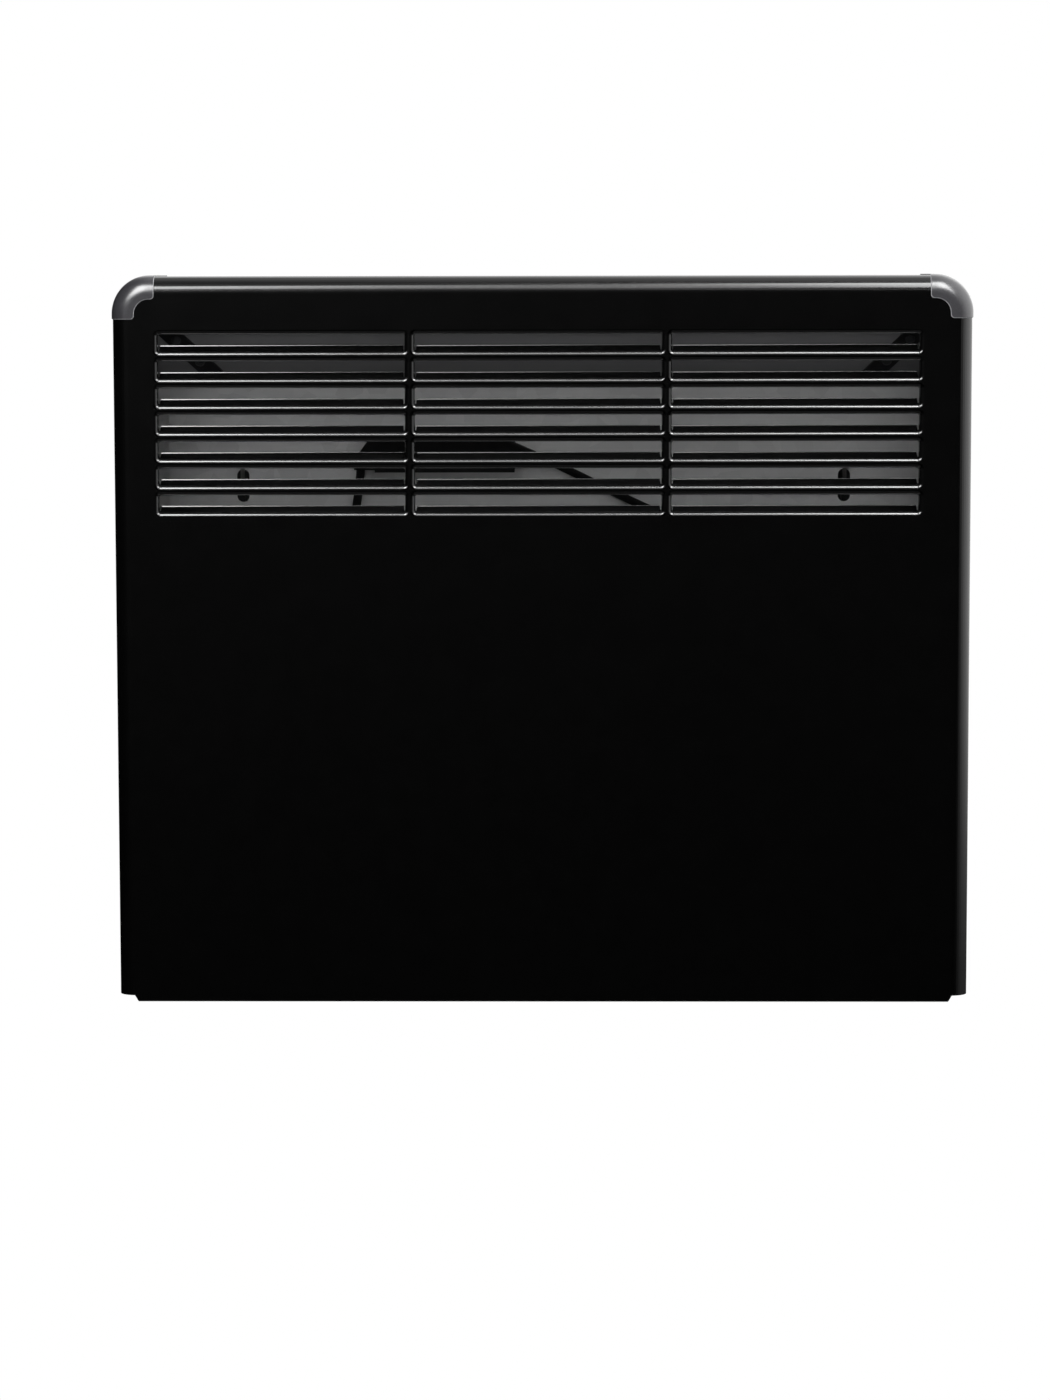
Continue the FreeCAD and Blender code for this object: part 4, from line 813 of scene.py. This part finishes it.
def capsule(bm, middle, length, width, run, out, thick):
    across = out.cross(run)
    loops = []
    for lift, inset in ((-thick, 0), (thick * softEdge, 0), (thick, thick * softEdge)):
        r = width / 2 - inset
        ring = []
        for end in (1, -1):
            for k in range(endSteps + 1):
                a = math.pi * (k / endSteps - 0.5)
                reach = length / 2 - width / 2 + math.cos(a) * r
                aside = (run * reach + across * math.sin(a) * r) * end
                ring.append(bm.verts.new(middle + out * lift + aside))
        loops.append(ring)
    skin(bm, loops)
    bm.faces.new(loops[0])
    bm.faces.new(loops[-1])


dialMarks = {"inner": 13.2, "outer": (14.2, 14.9), "width": (0.5, 1.1), "count": 7, "sweep": 270,
             "thick": 0.06, "least": 0.2}


def makeDialMarks():
    bm = bmesh.new()
    axis = middleOf("thermostat_knob")
    inner, (nearEnd, farEnd), (thin, wide) = dialMarks["inner"], dialMarks["outer"], dialMarks["width"]
    for k in range(dialMarks["count"]):
        share = k / (dialMarks["count"] - 1)
        turn = math.radians(dialMarks["sweep"]) * share
        run = Vector((0, math.sin(turn), math.cos(turn)))
        end = nearEnd + (farEnd - nearEnd) * share  # marks grow with heat
        width = thin + (wide - thin) * share
        length = max(end - inner, width + dialMarks["least"])
        middle = mm(controlFloor, axis.y, axis.z) + run * (inner + end) / 2 / perMetre
        thick = dialMarks["thick"] / perMetre
        capsule(bm, middle, length / perMetre, width / perMetre, run, sideways, thick)
    newPiece("dialMarks", bm, "printWhite")


knobPointer = {"from": 4.6, "to": 9.6, "width": 1.1, "thick": 0.07}


def makeKnobPointer():
    bm = bmesh.new()
    start, end, width, thick = metres(knobPointer, "from", "to", "width", "thick")
    axis, top = middleOf("thermostat_knob"), boxOf("thermostat_knob")[1].x
    middle = mm(top, axis.y, axis.z) + upright * (start + end) / 2
    capsule(bm, middle, end - start, width, upright, sideways, thick)
    newPiece("knobPointer", bm, "printWhite", "knob")


rockerMarks = {"bar": (3.275, 0, 3.33), "ring": (2.232, 0, -4.2), "length": 3.4, "width": 0.7,
               "radius": 1.7, "thick": 0.06, "face": (0.961, 0.2755), "flat": 0.7, "sides": 40}


def makeRockerMarks():
    bm = bmesh.new()
    outX, outZ = rockerMarks["face"]  # lean of the rocker's upper half
    middle = middleOf("switch_housing")
    pivot = mm(controlFloor, middle.y, middle.z)
    length, width, r, t = metres(rockerMarks, "length", "width", "radius", "thick")
    capsule(bm, pivot + mm(*rockerMarks["bar"]), length, width, Vector((outZ, 0, outX)),
            Vector((outX, 0, -outZ)), t)
    half, flat = width / 2, width / 2 * rockerMarks["flat"]
    profile = [(-t, r - half), (t * softEdge, r - half), (t, r - flat), (t, r + flat),
               (t * softEdge, r + half), (-t, r + half), (-t, r - half)]
    turned(bm, profile, pivot + mm(*rockerMarks["ring"]), sideways, rockerMarks["sides"])
    newPiece("rockerMarks", bm, "printWhite", "rocker")


makeDialMarks()
makeKnobPointer()
makeRockerMarks()
print("control marks made")


# clamp screws of the terminal block and boots on the element's pins

blockScrew = {"radius": 2.1, "height": 0.55, "recess": 0.4, "pole": 7.4, "apart": 5}


def makeBlockScrews():
    bm = bmesh.new()
    middle, front = middleOf("terminal_block"), boxOf("terminal_block")[0].y
    for column in (-1, 0, 1):
        for row in (-1, 1):
            x, z = middle.x + column * blockScrew["pole"], middle.z + row * blockScrew["apart"]
            pressedHead(bm, mm(x, front, z), ahead, *metres(blockScrew, "radius", "height", "recess"),
                        cross=False)
    newPiece("blockScrews", bm, "platedSteel")


pinBoot = {
    "fromEnd": 5.5, "radius": 3.3, "neck": 2.3, "reach": 11, "sides": 20,
    "barrel": ((-4.5, 0), (-4.5, 0.9), (-4, 1), (4, 1), (5.4, 0.85), (6.2, 0.5), (6.4, 0)),
    "throat": ((1, 0), (1, 0.8)), "shoulder": (3.5, 1.1),
    "rib": ((4.2, 1.1), (4.6, 0.85), (5.4, 0.85)), "ribs": 4, "ribPitch": 1.6,
}


def makePinBoot(name, side, up):
    bm = bmesh.new()
    axis, end = middleOf("element_terminals"), boxOf("element_terminals")[1].x
    pin = mm(side * (end - pinBoot["fromEnd"]), axis.y, axis.z)
    radius, neck, reach = metres(pinBoot, "radius", "neck", "reach")
    barrel = [(place / perMetre, radius * share) for place, share in pinBoot["barrel"]]
    turned(bm, barrel, pin, sideways * side)
    spout = [(place / perMetre, radius * share) for place, share in pinBoot["throat"]]
    spout.append((pinBoot["shoulder"][0] / perMetre, neck * pinBoot["shoulder"][1]))
    for k in range(pinBoot["ribs"]):  # bellows ribs round the spout
        drop = pinBoot["ribPitch"] * k
        spout += [((place + drop) / perMetre, neck * share) for place, share in pinBoot["rib"]]
    spout += [(reach, neck), (reach, 0)]
    turned(bm, spout, pin, upright * up, pinBoot["sides"])
    newPiece(name, bm, "grommetRubber")


makeBlockScrews()
makePinBoot("pinBoot_left", -1, 1)
makePinBoot("pinBoot_right", 1, -1)
print("terminal fittings made")


# leads run as smooth curves; the cut-out's are thicker than their solids and its left one leans out less,
# as in the photograph

leadCurve = {"around": 5, "along": 16, "order": 3}
leadRoutes = {
    "cutout_lead_left": {
        "radius": 2.3, "finish": "blackSleeve", "slot": "black_sleeve",
        "route": [(-98.4, -26.8, 3.85), (-98.4, -26.8, -0.15), (-106, -26.8, -52.15),
                  (-184.5, -51.4, -144.25), (-184.5, -51.4, -183.95)]},
    "cutout_lead_right": {
        "radius": 2.2, "finish": "blackSleeve", "slot": "black_sleeve",
        "route": [(-4, -26.8, 10.84), (-1, -26.8, 10.84), (52, -26.8, -15.56),
                  (172.7, -34, -69.25), (190.7, -34, -69.25)]},
    "live_lead": {
        "radius": 1.4, "finish": "brownWire", "slot": "brown_wire",
        "route": [(187.4, -26.3, -219.25), (187.4, -26.3, -165.25), (182.5, -34, -125.25),
                  (198.5, -34, -125.25)]},
    "neutral_lead": {
        "radius": 1.4, "finish": "blueWire", "slot": "blue_wire",
        "route": [(180, -26.3, -219.25), (180, -26.3, -211.25), (184.5, -51.4, -202.25),
                  (184.5, -51.4, -188.55)]},
    "earth_lead": {
        "radius": 1.4, "finish": "greenYellowWire", "slot": "green_wire",
        "route": [(172.6, -26.3, -219.25), (172.6, -26.3, -205.25), (152, -28.4, -220.25),
                  (138, -28.4, -220.25)]},
}


def makeLead(node, values):
    curve = bpy.data.curves.new(node + "_run", "CURVE")
    curve.dimensions = "3D"
    curve.bevel_depth = values["radius"] / perMetre
    curve.bevel_resolution = leadCurve["around"]
    curve.resolution_u = leadCurve["along"]
    curve.use_fill_caps = True
    spline = curve.splines.new("NURBS")
    spline.points.add(len(values["route"]) - 1)
    for point, place in zip(spline.points, values["route"]):
        point.co = (*mm(*place), 1)
    spline.order_u = leadCurve["order"]
    spline.use_endpoint_u = True
    curve.materials.append(finishes[values["finish"]])
    piece = newObject(node + "_run", curve)
    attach(piece, "casing")
    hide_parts(node)


for node, values in leadRoutes.items():
    makeLead(node, values)
print("leads run:", len(leadRoutes))


# floor, backdrop and light

studio = {
    "floorHeight": -0.95, "floorRadius": 1.5, "floorSides": 96, "floorTone": 0.82, "floorGlint": 0.05,
    "floorFade": (0.55, 1.455), "fill": 0.16, "front": 0.004, "brightSide": (0.71, 0.39, 0.34),
    "brightAt": 0.9, "darkBelow": (-0.14, -0.10),
}


def matteTone(tree, tone):
    node = tree.nodes.new("ShaderNodeBsdfDiffuse")
    node.inputs["Color"].default_value = (tone, tone, tone, 1)
    return node.outputs["BSDF"]


def makeFloor():
    bm = bmesh.new()
    bmesh.ops.create_circle(bm, cap_ends=True, segments=studio["floorSides"], radius=studio["floorRadius"])
    mesh = bpy.data.meshes.new("studioFloor")
    bm.to_mesh(mesh)
    bm.free()
    floor = newObject("studioFloor", mesh)
    floor.location = (0, 0, studio["floorHeight"])
    mat = bpy.data.materials.new("paleFloor")
    tree, out = clearTree(mat, "ShaderNodeOutputMaterial")
    path = tree.nodes.new("ShaderNodeLightPath")
    matte, dim = matteTone(tree, studio["floorTone"]), matteTone(tree, studio["floorGlint"])
    distance = tree.nodes.new("ShaderNodeVectorMath")
    distance.operation = "LENGTH"
    tree.links.new(tree.nodes.new("ShaderNodeTexCoord").outputs["Object"], distance.inputs[0])
    fade = rise(tree, distance.outputs["Value"], *studio["floorFade"], smooth=True)
    glow = tree.nodes.new("ShaderNodeEmission").outputs["Emission"]
    shown = mixedShader(tree, fade, matte, glow)  # runs out into the white backdrop, for the camera only
    unlit = mixedShader(tree, path.outputs["Is Glossy Ray"], matte, dim)  # dim in the heater's gloss
    chosen = mixedShader(tree, path.outputs["Is Camera Ray"], unlit, shown)
    side = tree.nodes.new("ShaderNodeNewGeometry").outputs["Backfacing"]
    clear = tree.nodes.new("ShaderNodeBsdfTransparent").outputs["BSDF"]
    oneWay = mixedShader(tree, side, chosen, clear)  # looked through from below
    tree.links.new(oneWay, out.inputs["Surface"])
    mesh.materials.append(mat)


def makeWorld():
    world = bpy.data.worlds.new("studioWorld")
    scene.world = world
    tree, out = clearTree(world, "ShaderNodeOutputWorld")
    path = tree.nodes.new("ShaderNodeLightPath")
    ray = tree.nodes.new("ShaderNodeTexCoord").outputs["Generated"]
    facing = tree.nodes.new("ShaderNodeVectorMath")
    facing.operation = "DOT_PRODUCT"
    facing.inputs[1].default_value = studio["brightSide"]
    tree.links.new(ray, facing.inputs[0])
    # in a mirror: a dim room in front, the white backdrop behind, nothing bright below the floor's far edge
    toBack = rise(tree, facing.outputs["Value"], 0.0, studio["brightAt"], studio["front"], 1.0, smooth=True)
    above = rise(tree, along(tree, ray, "Z"), *studio["darkBelow"])
    camera = path.outputs["Is Camera Ray"]
    mirrored = maths(tree, "MAXIMUM", path.outputs["Is Glossy Ray"], path.outputs["Is Transmission Ray"])
    mirror = maths(tree, "MULTIPLY", mirrored, maths(tree, "MULTIPLY", above, toBack))
    fill = tree.nodes.new("ShaderNodeBackground")
    back = tree.nodes.new("ShaderNodeBackground")
    for sky in (fill, back):
        sky.inputs["Color"].default_value = (1, 1, 1, 1)
    fill.inputs["Strength"].default_value = studio["fill"]
    tree.links.new(maths(tree, "MAXIMUM", camera, mirror), back.inputs["Strength"])
    shown = maths(tree, "MAXIMUM", camera, mirrored)
    sky = mixedShader(tree, shown, fill.outputs["Background"], back.outputs["Background"])
    tree.links.new(sky, out.inputs["Surface"])


lamps = {
    "leftBox": {"at": (-0.90, -1.83, 1.48), "look": (0, -0.08, 0.1), "size": (1.1, 1.45), "watts": 34},
    "rightBox": {"at": (0.775, -1.56, 1.83), "look": (0, -0.08, 0.1), "size": (0.93, 1.45), "watts": 29.5},
    "middleBox": {"at": (0.0, -1.95, 1.62), "look": (0, -0.08, 0.1), "size": (0.5, 1.3), "watts": 1.8},
    "frontFill": {"at": (0.1, -2.25, 0.4), "look": (0, -0.05, 0.03), "size": (1.6, 0.8), "watts": 11,
                  "glint": False},
    "backBox": {"at": (0.4, 2.0, 1.1), "look": (0, 0, -0.1), "size": (2.4, 2.0), "watts": 8},
}


def makeLamps():
    for name, values in lamps.items():
        data = bpy.data.lights.new(name, "AREA")
        data.shape = "RECTANGLE"
        data.size, data.size_y = values["size"]
        data.energy = values["watts"]
        lamp = newObject(name, data)
        lamp.location = values["at"]
        aim = Vector(values["look"]) - Vector(values["at"])
        lamp.rotation_euler = aim.to_track_quat("-Z", "Y").to_euler()
        lamp.visible_camera = False
        lamp.visible_glossy = values.get("glint", True)  # the fill softens shadows and shows in no gloss


makeFloor()
makeWorld()
makeLamps()
scene.view_settings.view_transform = "Standard"
print("studio set with", len(lamps), "lamps")


# camera matched to the photograph: level with the top edge and a little to the right

view = {"at": (0.02327, -2.23797, 0.10733), "yaw": -0.8623, "down": 5.8939, "roll": -0.1143,
        "focalPixels": 4102.2, "imageHeight": 1400, "sensor": 36, "clipStart": 0.05}


def makeCamera():
    data = bpy.data.cameras.new("photoCamera")
    data.sensor_fit = "VERTICAL"
    data.sensor_height = view["sensor"]
    data.lens = view["focalPixels"] / view["imageHeight"] * view["sensor"]
    data.clip_start = view["clipStart"]
    camera = newObject("photoCamera", data)
    yaw, down, roll = (math.radians(view[key]) for key in ("yaw", "down", "roll"))
    level = Matrix.Rotation(-yaw, 4, "Z") @ Matrix.Rotation(math.pi / 2 - down, 4, "X")
    camera.matrix_world = Matrix.Translation(view["at"]) @ level @ Matrix.Rotation(roll, 4, "Z")
    scene.camera = camera


makeCamera()
print("camera set")
